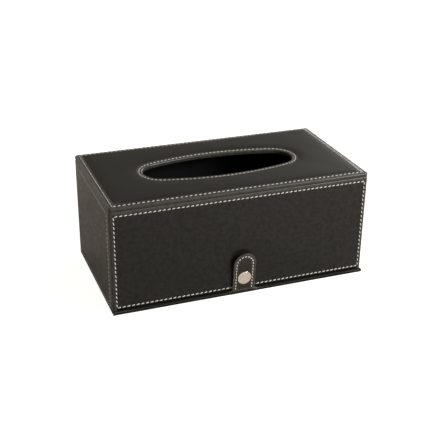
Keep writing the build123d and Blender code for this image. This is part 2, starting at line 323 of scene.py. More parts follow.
def mend_normals(piece):
    """Merge doubles and point every face of a finished shape outwards."""
    take(piece)
    bpy.ops.object.mode_set(mode="EDIT")
    end_edit()


def mark_folds(piece, in_painted_shade=None):
    """Store how sharply the surface folds outwards and inwards at each point.

    A point that a test from 0 to 1 puts in painted shade gets no rubbed edge or painted highlight, and is painted
    dark as shade; inward folds are painted dark as shade too."""
    shape = bmesh.new()
    shape.from_mesh(piece.data)
    fold, hollow_shade = np.zeros(len(shape.verts)), np.zeros(len(shape.verts))
    for edge in shape.edges:
        if len(edge.link_faces) == 2:
            turn = edge.calc_face_angle_signed(0.0)
            for vert in edge.verts:
                fold[vert.index] += max(turn, 0.0) / 2
                hollow_shade[vert.index] += max(-turn, 0.0) / 2
    links = np.array([[e.verts[0].index, e.verts[1].index] for e in shape.edges])
    shape.free()
    for name, values in (("fold", fold), ("hollow_shade", hollow_shade)):
        for _ in range(2):
            total, count = values.copy(), np.ones(len(values))
            np.add.at(total, links[:, 0], values[links[:, 1]])
            np.add.at(total, links[:, 1], values[links[:, 0]])
            np.add.at(count, links.ravel(), 1)
            values = total / count
        if in_painted_shade:
            cover = np.array([in_painted_shade(v.co) for v in piece.data.vertices])
            values = values * (1 - cover) + (cover if name == "hollow_shade" else 0)
        attribute = piece.data.attributes.new(name, "FLOAT", "POINT")
        attribute.data.foreach_set("value", np.clip(values, 0, 1).astype(np.float32))


def dress(piece, material, body=None, replaces=()):
    """Give a finished piece its material, its body and the nodes it stands for."""
    piece.data.materials.clear()
    piece.data.materials.append(material)
    if body:
        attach(piece, body)
    if replaces:
        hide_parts(*replaces)


def mesh_piece(name, points, faces):
    """A new object from points and faces, at the origin."""
    mesh = bpy.data.meshes.new(name)
    mesh.from_pydata(points, [], faces)
    mesh.validate()
    piece = bpy.data.objects.new(name, mesh)
    bpy.context.scene.collection.objects.link(piece)
    return piece


# ---- Shader groups shared by the materials -------------------------------------------
def feed(tree, socket, value):
    """Link a socket to another one's output, or set its value."""
    if isinstance(value, bpy.types.NodeSocket):
        tree.links.new(value, socket)
    else:
        socket.default_value = value


def add_node(tree, kind, inputs=None, **settings):
    """Add a node, set its settings, and set or link its inputs."""
    node = tree.nodes.new(kind)
    for key, value in settings.items():
        setattr(node, key, value)
    for key, value in (inputs or {}).items():
        feed(tree, node.inputs[key], value)
    return node


def math_node(tree, operation, first, second=0.0, clamp=False):
    """Add a Math node and return its output."""
    inputs = {0: first, 1: second}
    node = add_node(tree, "ShaderNodeMath", inputs, operation=operation, use_clamp=clamp)
    return node.outputs[0]


def times(tree, first, second, clamp=False):
    """Multiply two values and return the output."""
    return math_node(tree, "MULTIPLY", first, second, clamp)


def mapped(tree, value, from_low, from_high, to_low=0.0, to_high=1.0):
    """Add a Map Range node and return its output."""
    node = add_node(
        tree, "ShaderNodeMapRange",
        {"Value": value, "From Min": from_low, "From Max": from_high,
         "To Min": to_low, "To Max": to_high},
    )
    return node.outputs[0]


def noise(tree, place, scale, detail=2.0, roughness=0.5):
    """Add a Noise Texture and return its value."""
    node = add_node(
        tree, "ShaderNodeTexNoise",
        {"Vector": place, "Scale": scale, "Detail": detail, "Roughness": roughness},
    )
    return node.outputs["Fac"]


def mixed(tree, share, first, second):
    """Mix two colours by a share and return the colour."""
    inputs = {0: share, 6: first, 7: second}
    return add_node(tree, "ShaderNodeMix", inputs, data_type="RGBA").outputs[2]


def tinted(colour, factor):
    """A colour made darker or lighter, and opaque."""
    return tuple(min(part * factor, 1) for part in colour[:3]) + (1,)


def start_group(name, inputs, outputs):
    """Start a shader node group with named inputs and outputs."""
    group = bpy.data.node_groups.new(name, "ShaderNodeTree")
    for label, kind, default in inputs:
        socket = group.interface.new_socket(name=label, in_out="INPUT", socket_type=kind)
        if default is not None:
            socket.default_value = default
    for label, kind in outputs:
        group.interface.new_socket(name=label, in_out="OUTPUT", socket_type=kind)
    return group, group.nodes.new("NodeGroupInput"), group.nodes.new("NodeGroupOutput")


VECTOR, FLOAT = "NodeSocketVector", "NodeSocketFloat"


def grain_group():
    """Fine pebbled grain of coated leather: cells, their creases and a soft ripple."""
    group, given, out = start_group(
        "Leather Grain",
        [("Place", VECTOR, None), ("Cells per mm", FLOAT, 1.4), ("Ripple", FLOAT, 0.5)],
        [("Height", FLOAT), ("Crease", FLOAT)],
    )
    place = given.outputs["Place"]
    wobble = add_node(
        group, "ShaderNodeTexNoise", {"Vector": place, "Scale": 0.8, "Detail": 2.0}
    )
    shifted = add_node(
        group, "ShaderNodeMixRGB", {0: 0.12, 1: place, 2: wobble.outputs["Color"]},
        blend_type="ADD",
    )
    cells = add_node(
        group, "ShaderNodeTexVoronoi",
        {"Vector": shifted.outputs[0], "Scale": given.outputs["Cells per mm"]},
        feature="DISTANCE_TO_EDGE",
    )
    crease = mapped(group, cells.outputs["Distance"], 0.0, 0.16)
    fine = noise(group, place, 3.2, 3.0, 0.6)
    ripple = noise(group, place, 0.045, 2.0, 0.4)
    height = math_node(group, "ADD", times(group, crease, 0.6), times(group, fine, 0.4))
    ripple = times(group, times(group, ripple, given.outputs["Ripple"]), 10.0)
    height = math_node(group, "ADD", height, ripple)
    group.links.new(height, out.inputs["Height"])
    group.links.new(crease, out.inputs["Crease"])
    return group


def mottle_group():
    """Slow, cloudy variation over a surface, about 0 to 1."""
    group, given, out = start_group(
        "Soft Mottling",
        [("Place", VECTOR, None), ("Patches per mm", FLOAT, 0.03)],
        [("Value", FLOAT)],
    )
    place, scale = given.outputs["Place"], given.outputs["Patches per mm"]
    broad = noise(group, place, scale, 3.0, 0.55)
    group.links.new(mapped(group, broad, 0.3, 0.7), out.inputs["Value"])
    return group


def wear_group():
    """Where the leather folds outwards it is rubbed a little, unevenly, with a painted highlight there too."""
    group, given, out = start_group(
        "Fold Wear And Highlight",
        [("Place", VECTOR, None), ("Fold", FLOAT, 0.0), ("Amount", FLOAT, 0.5)],
        [("Mask", FLOAT)],
    )
    folded = mapped(group, given.outputs["Fold"], 0.07, 0.17)
    broken = noise(group, given.outputs["Place"], 0.25, 4.0, 0.65)
    broken = mapped(group, broken, 0.3, 0.6, 0.55, 1.0)
    mask = times(group, times(group, folded, broken), given.outputs["Amount"], clamp=True)
    group.links.new(mask, out.inputs["Mask"])
    return group


def pile_group():
    """Short matted pile of flannel."""
    group, given, out = start_group(
        "Flannel Pile",
        [("Place", VECTOR, None), ("Fibres per mm", FLOAT, 2.2)],
        [("Height", FLOAT), ("Light Fibres", FLOAT)],
    )
    place = given.outputs["Place"]
    fine = noise(group, place, given.outputs["Fibres per mm"], 5.0, 0.7)
    clumps = noise(group, place, 0.35, 3.0, 0.6)
    height = math_node(group, "ADD", fine, times(group, clumps, 0.5))
    group.links.new(height, out.inputs["Height"])
    group.links.new(mapped(group, fine, 0.52, 0.75), out.inputs["Light Fibres"])
    return group


def twist_group():
    """Two plies of a thread, wound round each other along U."""
    group, given, out = start_group(
        "Thread Twist",
        [("Place", VECTOR, None), ("Turns", FLOAT, 3.0)],
        [("Height", FLOAT), ("Hollow Shade", FLOAT)],
    )
    parts = add_node(group, "ShaderNodeSeparateXYZ", {0: given.outputs["Place"]})
    along = times(group, parts.outputs[0], given.outputs["Turns"])
    wound = math_node(group, "ADD", along, times(group, parts.outputs[1], 2.0))
    wave = math_node(group, "SINE", times(group, wound, TURN))
    height = mapped(group, wave, -1.0, 1.0)
    group.links.new(height, out.inputs["Height"])
    # Where the plies part: a mask for painted shade.
    group.links.new(mapped(group, wave, -0.4, -1.0), out.inputs["Hollow Shade"])
    return group


def fleck_group():
    """Pressed fibres of a board or fine specks in a moulded part."""
    group, given, out = start_group(
        "Fine Flecks",
        [("Place", VECTOR, None), ("Flecks per mm", FLOAT, 1.2)],
        [("Height", FLOAT), ("Flecks", FLOAT)],
    )
    place, scale = given.outputs["Place"], given.outputs["Flecks per mm"]
    fine = noise(group, place, scale, 6.0, 0.75)
    group.links.new(fine, out.inputs["Height"])
    group.links.new(mapped(group, fine, 0.45, 0.7), out.inputs["Flecks"])
    return group


groups = {}


def group_node(tree, name, inputs):
    """Place a shared group in a material."""
    return add_node(tree, "ShaderNodeGroup", inputs, node_tree=groups[name])


# ---- Materials -----------------------------------------------------------------------
# How deep the relief of each finish is.
LEATHER_GRAIN_DEPTH = 0.05 * MM
THREAD_TWIST_DEPTH = 0.12 * MM
PILE_DEPTH = 0.18 * MM
BOARD_DEPTH, CARD_DEPTH, PLASTIC_DEPTH = 0.08 * MM, 0.05 * MM, 0.02 * MM
METAL_MARK_DEPTH = 0.01 * MM
# The lid's leather, painted darker than the walls' as shade on the top, and the strap's, which is a warmer hide.
LID_SHADE_TINT, STRAP_TINT = 0.78, (1.2, 0.98, 0.98)


def start_material(name, **constants):
    """A material with a Principled shader and its place in millimetres."""
    material = bpy.data.materials.new(name)
    material.use_nodes = True
    tree = material.node_tree
    shader = tree.nodes["Principled BSDF"]
    for key, value in constants.items():
        shader.inputs[key.replace("_", " ")].default_value = value
    coordinates = add_node(tree, "ShaderNodeTexCoord")
    place = add_node(
        tree, "ShaderNodeMapping",
        {"Vector": coordinates.outputs["Object"], "Scale": (1 / MM,) * 3},
    )
    return material, tree, shader, place.outputs[0], coordinates


def bump(tree, shader, height, distance, strength=1.0):
    """Turn a height into the shader's normal."""
    inputs = {"Height": height, "Distance": distance, "Strength": strength}
    node = add_node(tree, "ShaderNodeBump", inputs)
    tree.links.new(node.outputs[0], shader.inputs["Normal"])


def mottled(tree, place, patches):
    """Soft mottling with a number of patches per millimetre."""
    inputs = {"Place": place, "Patches per mm": patches}
    return group_node(tree, "Soft Mottling", inputs).outputs["Value"]


def stored(tree, name):
    """A value stored on the mesh."""
    return add_node(tree, "ShaderNodeAttribute", attribute_name=name).outputs["Fac"]


def leather_material(name, colour, cells, ripple, rough, polish):
    """Semi-matte coated leather: fine grain, mottling, rubbed folds with a painted highlight, and creases, furrows
    and sheltered places painted dark as shade.
    """
    material, tree, shader, place, _ = start_material(
        name, Specular_IOR_Level=0.05, Coat_Roughness=0.3, Coat_IOR=1.45
    )
    grain = group_node(
        tree, "Leather Grain", {"Place": place, "Cells per mm": cells, "Ripple": ripple}
    )
    mottle = mottled(tree, place, 0.035)
    wear_and_highlight = group_node(
        tree, "Fold Wear And Highlight", {"Place": place, "Fold": stored(tree, "fold"), "Amount": 1.0}
    ).outputs["Mask"]
    feed(tree, shader.inputs["Coat Weight"], times(tree, wear_and_highlight, polish))
    # Painted light: a darker colour for painted shade in creases and hollows, and a lighter one for rubbed edges
    # and their painted highlight.
    crease_shade, rubbed_and_highlit, painted_shade = (tinted(colour, factor) for factor in (0.6, 2.0, 0.3))
    base = mixed(tree, mottle, tinted(colour, 0.96), tinted(colour, 1.04))
    # The grain's creases are painted darker as shade.
    in_crease = mapped(tree, grain.outputs["Crease"], 0.0, 1.0, 0.15, 0.0)
    base = mixed(tree, in_crease, base, crease_shade)
    # Rubbed folds are painted lighter, partly as wear and partly as a painted highlight on the rolled edges.
    base = mixed(tree, wear_and_highlight, base, rubbed_and_highlit)
    # Inward folds and sheltered places are painted dark as shade.
    base = mixed(tree, mapped(tree, stored(tree, "hollow_shade"), 0.02, 0.2), base, painted_shade)
    feed(tree, shader.inputs["Base Color"], base)
    roughness = mapped(tree, mottle, 0.0, 1.0, *rough)
    roughness = math_node(tree, "SUBTRACT", roughness, times(tree, wear_and_highlight, 0.08))
    feed(tree, shader.inputs["Roughness"], roughness)
    bump(tree, shader, grain.outputs["Height"], LEATHER_GRAIN_DEPTH, 0.1)
    return material


def thread_material(colour):
    """Waxed polyester thread of two plies."""
    material, tree, shader, place, coordinates = start_material(
        "Stitching Thread", Specular_IOR_Level=0.4, Sheen_Weight=0.15
    )
    twist = group_node(
        tree, "Thread Twist", {"Place": coordinates.outputs["UV"], "Turns": 3.0}
    )
    base = mixed(tree, mottled(tree, place, 0.12), tinted(colour, 0.86), colour)
    # The groove between the plies is painted darker as shade.
    hollow_shade = times(tree, twist.outputs["Hollow Shade"], 0.6)
    base = mixed(tree, hollow_shade, base, tinted(colour, 0.55))
    feed(tree, shader.inputs["Base Color"], base)
    roughness = mapped(tree, twist.outputs["Height"], 0, 1, 0.62, 0.48)
    feed(tree, shader.inputs["Roughness"], roughness)
    bump(tree, shader, twist.outputs["Height"], THREAD_TWIST_DEPTH, 0.7)
    return material


def flannel_material(colour):
    """Dark brushed flannel."""
    material, tree, shader, place, _ = start_material(
        "Flannel Lining", Specular_IOR_Level=0.1, Sheen_Weight=0.25, Sheen_Roughness=0.5,
        Sheen_Tint=(0.1, 0.1, 0.1, 1),
    )
    pile = group_node(tree, "Flannel Pile", {"Place": place, "Fibres per mm": 2.2})
    share = times(tree, pile.outputs["Light Fibres"], 0.6)
    base = mixed(tree, share, colour, tinted(colour, 2.6))
    feed(tree, shader.inputs["Base Color"], base)
    roughness = mapped(tree, pile.outputs["Height"], 0.3, 1.2, 0.98, 0.86)
    feed(tree, shader.inputs["Roughness"], roughness)
    bump(tree, shader, pile.outputs["Height"], PILE_DEPTH, 0.8)
    return material


def fleck_material(name, colour, flecks, rough, depth, contrast=0.55):
    """Pressed board, stiffener or moulded plastic, with fine flecks."""
    material, tree, shader, place, _ = start_material(name, Specular_IOR_Level=0.35)
    fleck = group_node(tree, "Fine Flecks", {"Place": place, "Flecks per mm": flecks})
    base = mixed(tree, mottled(tree, place, 0.06), colour, tinted(colour, 1.15))
    share = times(tree, fleck.outputs["Flecks"], 0.7)
    base = mixed(tree, share, base, tinted(colour, contrast))
    feed(tree, shader.inputs["Base Color"], base)
    roughness = mapped(
        tree, fleck.outputs["Height"], 0.3, 0.7, rough - 0.06, rough + 0.06
    )
    feed(tree, shader.inputs["Roughness"], roughness)
    bump(tree, shader, fleck.outputs["Height"], depth, 0.6)
    return material


def metal_material(colour):
    """Warm nickel plate, softly polished, with faint handling marks."""
    material, tree, shader, place, _ = start_material("Press Stud Metal", Metallic=1.0)
    marks = group_node(tree, "Fine Flecks", {"Place": place, "Flecks per mm": 1.6})
    base = mixed(tree, mottled(tree, place, 0.25), tinted(colour, 0.9), colour)
    feed(tree, shader.inputs["Base Color"], base)
    roughness = mapped(tree, marks.outputs["Flecks"], 0, 1, 0.2, 0.28)
    feed(tree, shader.inputs["Roughness"], roughness)
    bump(tree, shader, marks.outputs["Height"], METAL_MARK_DEPTH, 0.25)
    return material


finishes = {}


def make_finishes(colours):
    """Build the shared groups and every material."""
    for start in (
        grain_group, mottle_group, wear_group, pile_group, twist_group, fleck_group
    ):
        group = start()
        groups[group.name] = group
    leather = tuple(colours.leather)
    warm = tuple(part * factor for part, factor in zip(leather, STRAP_TINT)) + (1,)
    finishes.update(
        walls=leather_material(
            "Wall Leather", leather,
            cells=1.5, ripple=0.04, rough=(0.70, 0.73), polish=0.9,
        ),
        # The lid's leather is the walls' painted darker, as shade on the top.
        lid=leather_material(
            "Lid Leather", tinted(leather, LID_SHADE_TINT),
            cells=1.5, ripple=0.04, rough=(0.54, 0.57), polish=0.9,
        ),
        strap=leather_material(
            "Strap Leather", warm, cells=1.2, ripple=0.15, rough=(0.52, 0.6), polish=1.0
        ),
        thread=thread_material(tuple(colours.thread)),
        flannel=flannel_material(tuple(colours.flannel)),
        board=fleck_material(
            "Fibreboard", tuple(colours.fibreboard),
            flecks=1.4, rough=0.8, depth=BOARD_DEPTH,
        ),
        stiffener=fleck_material(
            "Stiffener Card", tuple(colours.stiffener),
            flecks=1.0, rough=0.75, depth=CARD_DEPTH,
        ),
        plastic=fleck_material(
            "Runner Plastic", tuple(colours.plastic),
            flecks=2.5, rough=0.42, depth=PLASTIC_DEPTH, contrast=0.85,
        ),
        metal=metal_material(tuple(colours.metal)),
    )


def dress_frame_nodes():
    """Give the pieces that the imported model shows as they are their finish."""
    looks = {
        "fibreboard": "board",
        "flannel": "flannel",
        "runner_plastic": "plastic",
        "stiffener": "stiffener",
        "snap_metal": "metal",
        "strap_leather": "strap",
        "panel_leather": "walls",
        "foam": "board",
    }
    for row in frame["record"]["subparts"]:
        materials = frame["nodes"][row["node"]].data.materials
        materials.clear()
        materials.append(finishes[looks[row["material_slot"]]])


# ---- Lid -----------------------------------------------------------------------------
LONG_STEPS = 236
SHORT_STEPS = 124
CORNER_STEPS = 10
RING_STEPS = 2 * LONG_STEPS + 2 * SHORT_STEPS + 4 * CORNER_STEPS
SKIN_ROWS = 25
SKIN_STATIONS = (118, 62, 6)
SKIN_SMOOTHING = 12
SKIN_START = 0.8  # of the crown, at which the simulation starts
SKIN_FULL = 97  # percentile of its heights that reaches the foam's full height
SKIN_DIP = 0.2 * MM  # that the simulation may take it below the seams
SKIN_SHARE = 0.55  # of the simulated lift, the rest being the plain crown's
LEAST_CORNER = 0.4 * MM
PADDING_CORNER = 12 * MM  # by which the padding's corners are rounder than the lid's
OPENING_LOWER_ROLL = 0.6 * MM
TURNED_IN = 6 * MM  # of the leather, under the lid round the opening
GATHER, GATHER_FADE = 0.07 * MM, 2.2 * MM  # at the lid's edge seam
OVAL_GATHER, OVAL_FADE = 0.06 * MM, 2.0 * MM  # at the opening's seam
OVAL_GATHERS = 90
WAVE_HEIGHT = 0.07 * MM
SEAM_BAND = 0.18  # of the way from one seam to the other, with closer rings


def all_round(quarter, end_y):
    """Turn the first quarter of an outline over for the other three, end to end."""
    end = np.array([(0.0, end_y)])
    back = quarter[:0:-1]
    second, third, fourth = back * (-1, 1), quarter * (-1, -1), back * (1, -1)
    return np.vstack([quarter, end, second, third, -end, fourth])


def rounded_outline(half_x, half_y, radius, long_steps, short_steps, corner_steps):
    """Points round a rounded rectangle, anticlockwise from the middle of its right."""
    points = []
    straight_x, straight_y = half_x - radius, half_y - radius
    for step in range(short_steps // 2):
        points.append((half_x, straight_y * step / (short_steps / 2)))
    for step in range(corner_steps):
        angle = TURN / 4 * step / corner_steps
        points.append(
            (straight_x + radius * np.cos(angle), straight_y + radius * np.sin(angle))
        )
    for step in range(long_steps // 2):
        points.append((straight_x * (1 - step / (long_steps / 2)), half_y))
    return all_round(np.array(points), half_y)


def oval_outline(sizes, outset, steps):
    """Evenly spaced points round the opening's oval, grown by an outset."""
    reach, breadth = sizes.opening_length / 2, sizes.opening_width / 2
    end = sizes.opening_end_radius
    end_x = reach - end
    side = (end_x**2 + breadth**2 - end**2) / (2 * (breadth - end))
    drop = side - breadth
    join = np.arctan2(drop, end_x)
    end_grown, side_grown = end + outset, side + outset
    end_arc, side_arc = end_grown * join, side_grown * (TURN / 4 - join)
    length = np.arange(steps // 4) / (steps // 4) * (end_arc + side_arc)
    on_end = length < end_arc
    angle = np.where(on_end, length / end_grown, join + (length - end_arc) / side_grown)
    cos, sin = np.cos(angle), np.sin(angle)
    x = np.where(on_end, end_x + end_grown * cos, side_grown * cos)
    y = np.where(on_end, end_grown * sin, side_grown * sin - drop)
    return all_round(np.column_stack([x, y]), breadth + outset)


def lid_ring(sizes, inset, steps=(LONG_STEPS, SHORT_STEPS, CORNER_STEPS)):
    """Outline at an inset from the lid's edge, rounder over the padding."""
    over = np.clip((inset - lid_seam_inset) / sizes.padding_run, 0, 1)
    radius = max(sizes.corner_radius - inset, LEAST_CORNER) + over * PADDING_CORNER
    return rounded_outline(half_width - inset, half_depth - inset, radius, *steps)


def ring_faces(rows, count, closed):
    """Faces between neighbouring rings; closed joins the last ring to the first."""
    faces = []
    for row in range(rows if closed else rows - 1):
        start, below = row * count, (row + 1) % rows * count
        for step in range(count):
            after = (step + 1) % count
            faces.append((start + step, start + after, below + after, below + step))
    return faces


def padding_rise(share):
    """Height of the padding, as a share of its crown, a share of its run from a seam."""
    return 1 - (1 - np.clip(share, 0, 1)) ** 2.2


def furrow(distance, sizes):
    """How deep the thread pulls the leather in, beside a seam."""
    return -sizes.seam_depth * np.exp(-((distance / sizes.seam_reach) ** 2) * 2.5)


def roll_points(radius, start_angle, end_angle, steps):
    """Offsets round a rolled edge, from one angle to another."""
    angles = np.linspace(start_angle, end_angle, steps)
    return list(zip(radius * np.cos(angles), radius * np.sin(angles)))


def simulate_padding(sizes):
    """Blow the leather between its two seams up over the foam, and return its heights."""
    outer = lid_ring(sizes, lid_seam_inset, SKIN_STATIONS)
    inner = oval_outline(sizes, sizes.opening_seam, len(outer))
    gap = np.linalg.norm(outer - inner, axis=1)
    count = len(outer)
    points = []
    for share in np.linspace(0, 1, SKIN_ROWS):
        ring = outer * (1 - share) + inner * share
        from_seam = np.minimum(share, 1 - share) * gap
        lift = lid_crown * SKIN_START * padding_rise(from_seam / sizes.padding_run)
        points += np.column_stack([ring, lid_rim_top + lift]).tolist()
    skin = mesh_piece("padding_skin", points, ring_faces(SKIN_ROWS, count, False))
    seams = skin.vertex_groups.new(name="seams")
    seams.add(list(range(count)), 1.0, "REPLACE")
    seams.add(list(range((SKIN_ROWS - 1) * count, SKIN_ROWS * count)), 1.0, "REPLACE")
    take(skin)
    cloth = skin.modifiers.new("Cloth", "CLOTH")
    settings = cloth.settings
    settings.quality = 8
    settings.mass = 0.3
    settings.tension_stiffness = settings.compression_stiffness = 25
    settings.shear_stiffness = 15
    settings.bending_stiffness = 4.0
    settings.vertex_group_mass = "seams"
    settings.pin_stiffness = 1
    settings.use_pressure = True
    settings.uniform_pressure_force = 2.0
    settings.effector_weights.gravity = 0
    cloth.collision_settings.use_collision = False
    for step in range(1, 21):
        bpy.context.scene.frame_set(step)
    bpy.ops.object.modifier_apply(modifier=cloth.name)
    bpy.context.scene.frame_set(1)
    result = np.array([v.co for v in skin.data.vertices]).reshape(SKIN_ROWS, count, 3)
    bpy.data.objects.remove(skin)
    heights = result[:, :, 2] - lid_rim_top
    # Stiff leather over foam bridges the small wrinkles of the cloth.
    for _ in range(SKIN_SMOOTHING):
        around = (np.roll(heights, 1, axis=1) + np.roll(heights, -1, axis=1)) / 2
        heights = (heights + around) / 2
        across = (heights[:-2] + heights[2:]) / 2
        heights[1:-1] = (heights[1:-1] + across) / 2
    return heights * (lid_crown / np.percentile(heights, SKIN_FULL))


def sampled(grid, rows, columns):
    """Read a closed ring grid between its points; rows and columns run from 0 to 1."""
    height, width = grid.shape
    r, c = rows * (height - 1), columns * width
    r0, c0 = np.floor(r).astype(int), np.floor(c).astype(int)
    r1 = np.minimum(r0 + 1, height - 1)
    fr, fc = r - r0, c - c0
    fr, fc = fr * fr * (3 - 2 * fr), fc * fc * (3 - 2 * fc)
    c0, c1 = c0 % width, (c0 + 1) % width
    low = grid[r0, c0] * (1 - fc) + grid[r0, c1] * fc
    high = grid[r1, c0] * (1 - fc) + grid[r1, c1] * fc
    return low * (1 - fr) + high * fr


def make_lid_leather(sizes):
    """Padded lid: rolled edges, pinched seams, crowned top and the rolled opening."""
    rings = []

    def add_ring(outline, height):
        heights = np.broadcast_to(height, (len(outline),))
        rings.append(np.column_stack([outline[:, 0], outline[:, 1] + mid_y, heights]))

    def add_oval(outset, height):
        add_ring(oval_outline(sizes, outset, RING_STEPS), height)

    under_end = half_width - lid_lining.x
    low_roll, top_roll = sizes.lid_bottom_roll, sizes.lid_top_roll
    for inset in np.linspace(under_end, low_roll, 5):
        add_ring(lid_ring(sizes, inset), lid_bottom)
    for x, z in roll_points(low_roll, -TURN / 4, -TURN / 2, 6)[1:]:
        add_ring(lid_ring(sizes, low_roll + x), lid_bottom + low_roll + z)
    for x, z in roll_points(top_roll, TURN / 2, TURN / 4, 9):
        add_ring(lid_ring(sizes, top_roll + x), lid_rim_top - top_roll + z)
    for inset in np.linspace(top_roll, lid_seam_inset, 7)[1:-1]:
        height = lid_rim_top + furrow(inset - lid_seam_inset, sizes)
        add_ring(lid_ring(sizes, inset), height)

    # Between the seams the rings turn from the lid's outline into the oval.
    outer_seam = lid_ring(sizes, lid_seam_inset)
    oval_seam = oval_outline(sizes, sizes.opening_seam, RING_STEPS)
    gap = np.linalg.norm(outer_seam - oval_seam, axis=1)
    skin = simulate_padding(sizes)
    fine = np.linspace(0, 1, 8) ** 1.4 * SEAM_BAND
    wide = np.linspace(SEAM_BAND, 1 - SEAM_BAND, 31)[1:-1]
    shares = np.concatenate([fine, wide, 1 - fine[::-1]])
    phase = np.arange(RING_STEPS) / RING_STEPS
    for share in shares:
        straight = outer_seam * (1 - share) + oval_seam * share
        from_outer, from_oval = share * gap, (1 - share) * gap
        near_seam = np.minimum(from_outer, from_oval)
        lift = lid_crown * padding_rise(near_seam / sizes.padding_run)
        if skin is not None:
            blown = sampled(skin, np.full(RING_STEPS, share), phase)
            blown = np.clip(blown, -SKIN_DIP, lid_crown)
            lift = (1 - SKIN_SHARE) * lift + SKIN_SHARE * blown
        height = lid_rim_top + lift + furrow(from_outer, sizes) + furrow(from_oval, sizes)
        height += pucker(straight, from_outer, from_oval, sizes)
        add_ring(straight, np.minimum(height, lid_crown_top))

    roll, lower_roll = sizes.opening_roll, OPENING_LOWER_ROLL
    for outset in np.linspace(sizes.opening_seam, roll, 6)[1:]:
        add_oval(outset, lid_rim_top + furrow(sizes.opening_seam - outset, sizes))
    for x, z in roll_points(roll, TURN / 4, TURN / 2, 7)[1:]:
        add_oval(roll + x, lid_rim_top - roll + z)
    for x, z in roll_points(lower_roll, TURN / 2, TURN * 3 / 4, 5):
        add_oval(lower_roll + x, lid_bottom + lower_roll + z)
    closed = lid_board_bottom - HAIR
    add_oval(TURNED_IN, lid_bottom)
    add_oval(TURNED_IN, closed)
    back_outer = lid_ring(sizes, under_end)
    back_inner = oval_outline(sizes, TURNED_IN, RING_STEPS)
    for share in np.linspace(0, 1, 7)[1:]:
        add_ring(back_inner * (1 - share) + back_outer * share, closed)

    faces = ring_faces(len(rings), RING_STEPS, True)
    piece = mesh_piece("lid_leather", np.vstack(rings).tolist(), faces)
    mend_normals(piece)
    smooth(piece, 40)
    mark_folds(piece)
    dress(piece, finishes["lid"], "casing", ("top_cover", "top_foam"))


def pucker(outline, from_outer, from_oval, sizes):
    """Small gathers where each stitch pulls the leather, and slow waves in the foam."""
    x, y = outline[:, 0], outline[:, 1]
    along = np.where(half_depth - np.abs(y) < half_width - np.abs(x), x, y)
    gather = GATHER * np.cos(TURN * along / sizes.stitch_pitch)
    oval_gather = OVAL_GATHER * np.cos(np.arctan2(y, x) * OVAL_GATHERS)
    # Three crossing waves, about 3 to 10 cm long.
    waves = (
        np.sin(x * 95 + 1.3) * np.cos(y * 120 - 0.4)
        + 0.7 * np.sin(x * 61 - y * 83 + 2.1)
        + 0.4 * np.sin(x * 187 + y * 141)
    )
    depth = np.minimum(from_outer, from_oval) / sizes.padding_run
    waves *= WAVE_HEIGHT * np.clip(depth, 0, 1)
    edge = gather * np.exp(-from_outer / GATHER_FADE)
    return edge + oval_gather * np.exp(-from_oval / OVAL_FADE) + waves


# ---- Walls ---------------------------------------------------------------------------
# Where the stitch rows lie: from the middle, at two levels, and behind the front.
FRONT_ROW_X = 115.3 * MM
FRONT_ROW_LEVELS = (92.0 * MM, 6.7 * MM)
SIDE_ROW_LEVELS = (91.5 * MM, 3.2 * MM)
SIDE_ROW_SETBACK = 9.4 * MM
REAR_ROW_X = 112.6 * MM
SLOT_SHADE = 1.1 * MM  # of the front wall's lower edge, which lies in the lip's shade
FACE_REACH = 0.45 * MM  # by which a point of a wall's face may lie behind it
CORNER_STRIPS, ROLL_STRIPS = 8, 5
# Across a furrow: shares of its reach, and of its depth.
FURROW = ((-1.0, 0), (-0.5, 0.55), (0.0, 1.0), (0.5, 0.55), (1.0, 0))


def press_row(piece, axis, place, out_axis, way, limits, sizes):
    """Press a straight furrow into a wall where a stitch row will lie.

    The furrow lies at a place on one axis, and is pressed along the outward axis;
    limits give how far it runs along the third."""
    run_axis = 3 - axis - out_axis
    for offset, _ in FURROW:
        cut_across(axis, place + offset * sizes.seam_reach)
    for end, beyond in ((limits[0], -1), (limits[1], 1)):
        cut_across(run_axis, end)
        cut_across(run_axis, end + beyond * sizes.seam_reach)
    face = {0: way * half_width, 1: front_y if way < 0 else rear_y}[out_axis]
    for offset, depth in FURROW[1:-1]:
        level = place + offset * sizes.seam_reach

        def on_line(vert):
            on_face = abs(vert.co[out_axis] - face) < FACE_REACH
            inside = limits[0] - HAIR / 2 <= vert.co[run_axis] <= limits[1] + HAIR / 2
            return on_face and inside and near(vert.co[axis], level)

        pick(piece, "VERT", on_line)
        push = [0.0, 0.0, 0.0]
        push[out_axis] = -way * depth * sizes.seam_depth
        bpy.ops.transform.translate(value=push)


def press_rows(piece, out_axis, way, uprights, levels, reach, sizes):
    """Press a wall's upright rows, and its level ones, which run as far as reach."""
    for place in uprights:
        press_row(piece, 1 - out_axis, place, out_axis, way, sorted(levels), sizes)
    for level in levels:
        press_row(piece, 2, level, out_axis, way, reach, sizes)


def end_wall(piece, node, in_painted_shade=None):
    """Leave edit mode, finish a wall's skin and dress it."""
    end_edit()
    thicken(piece, leather_thickness - HAIR)
    smooth(piece)
    weighted = piece.modifiers.new("Even Normals", "WEIGHTED_NORMAL")
    weighted.keep_sharp = True
    finish_modifiers(piece)
    mark_folds(piece, in_painted_shade)
    dress(piece, finishes["walls"], "casing", (node,))


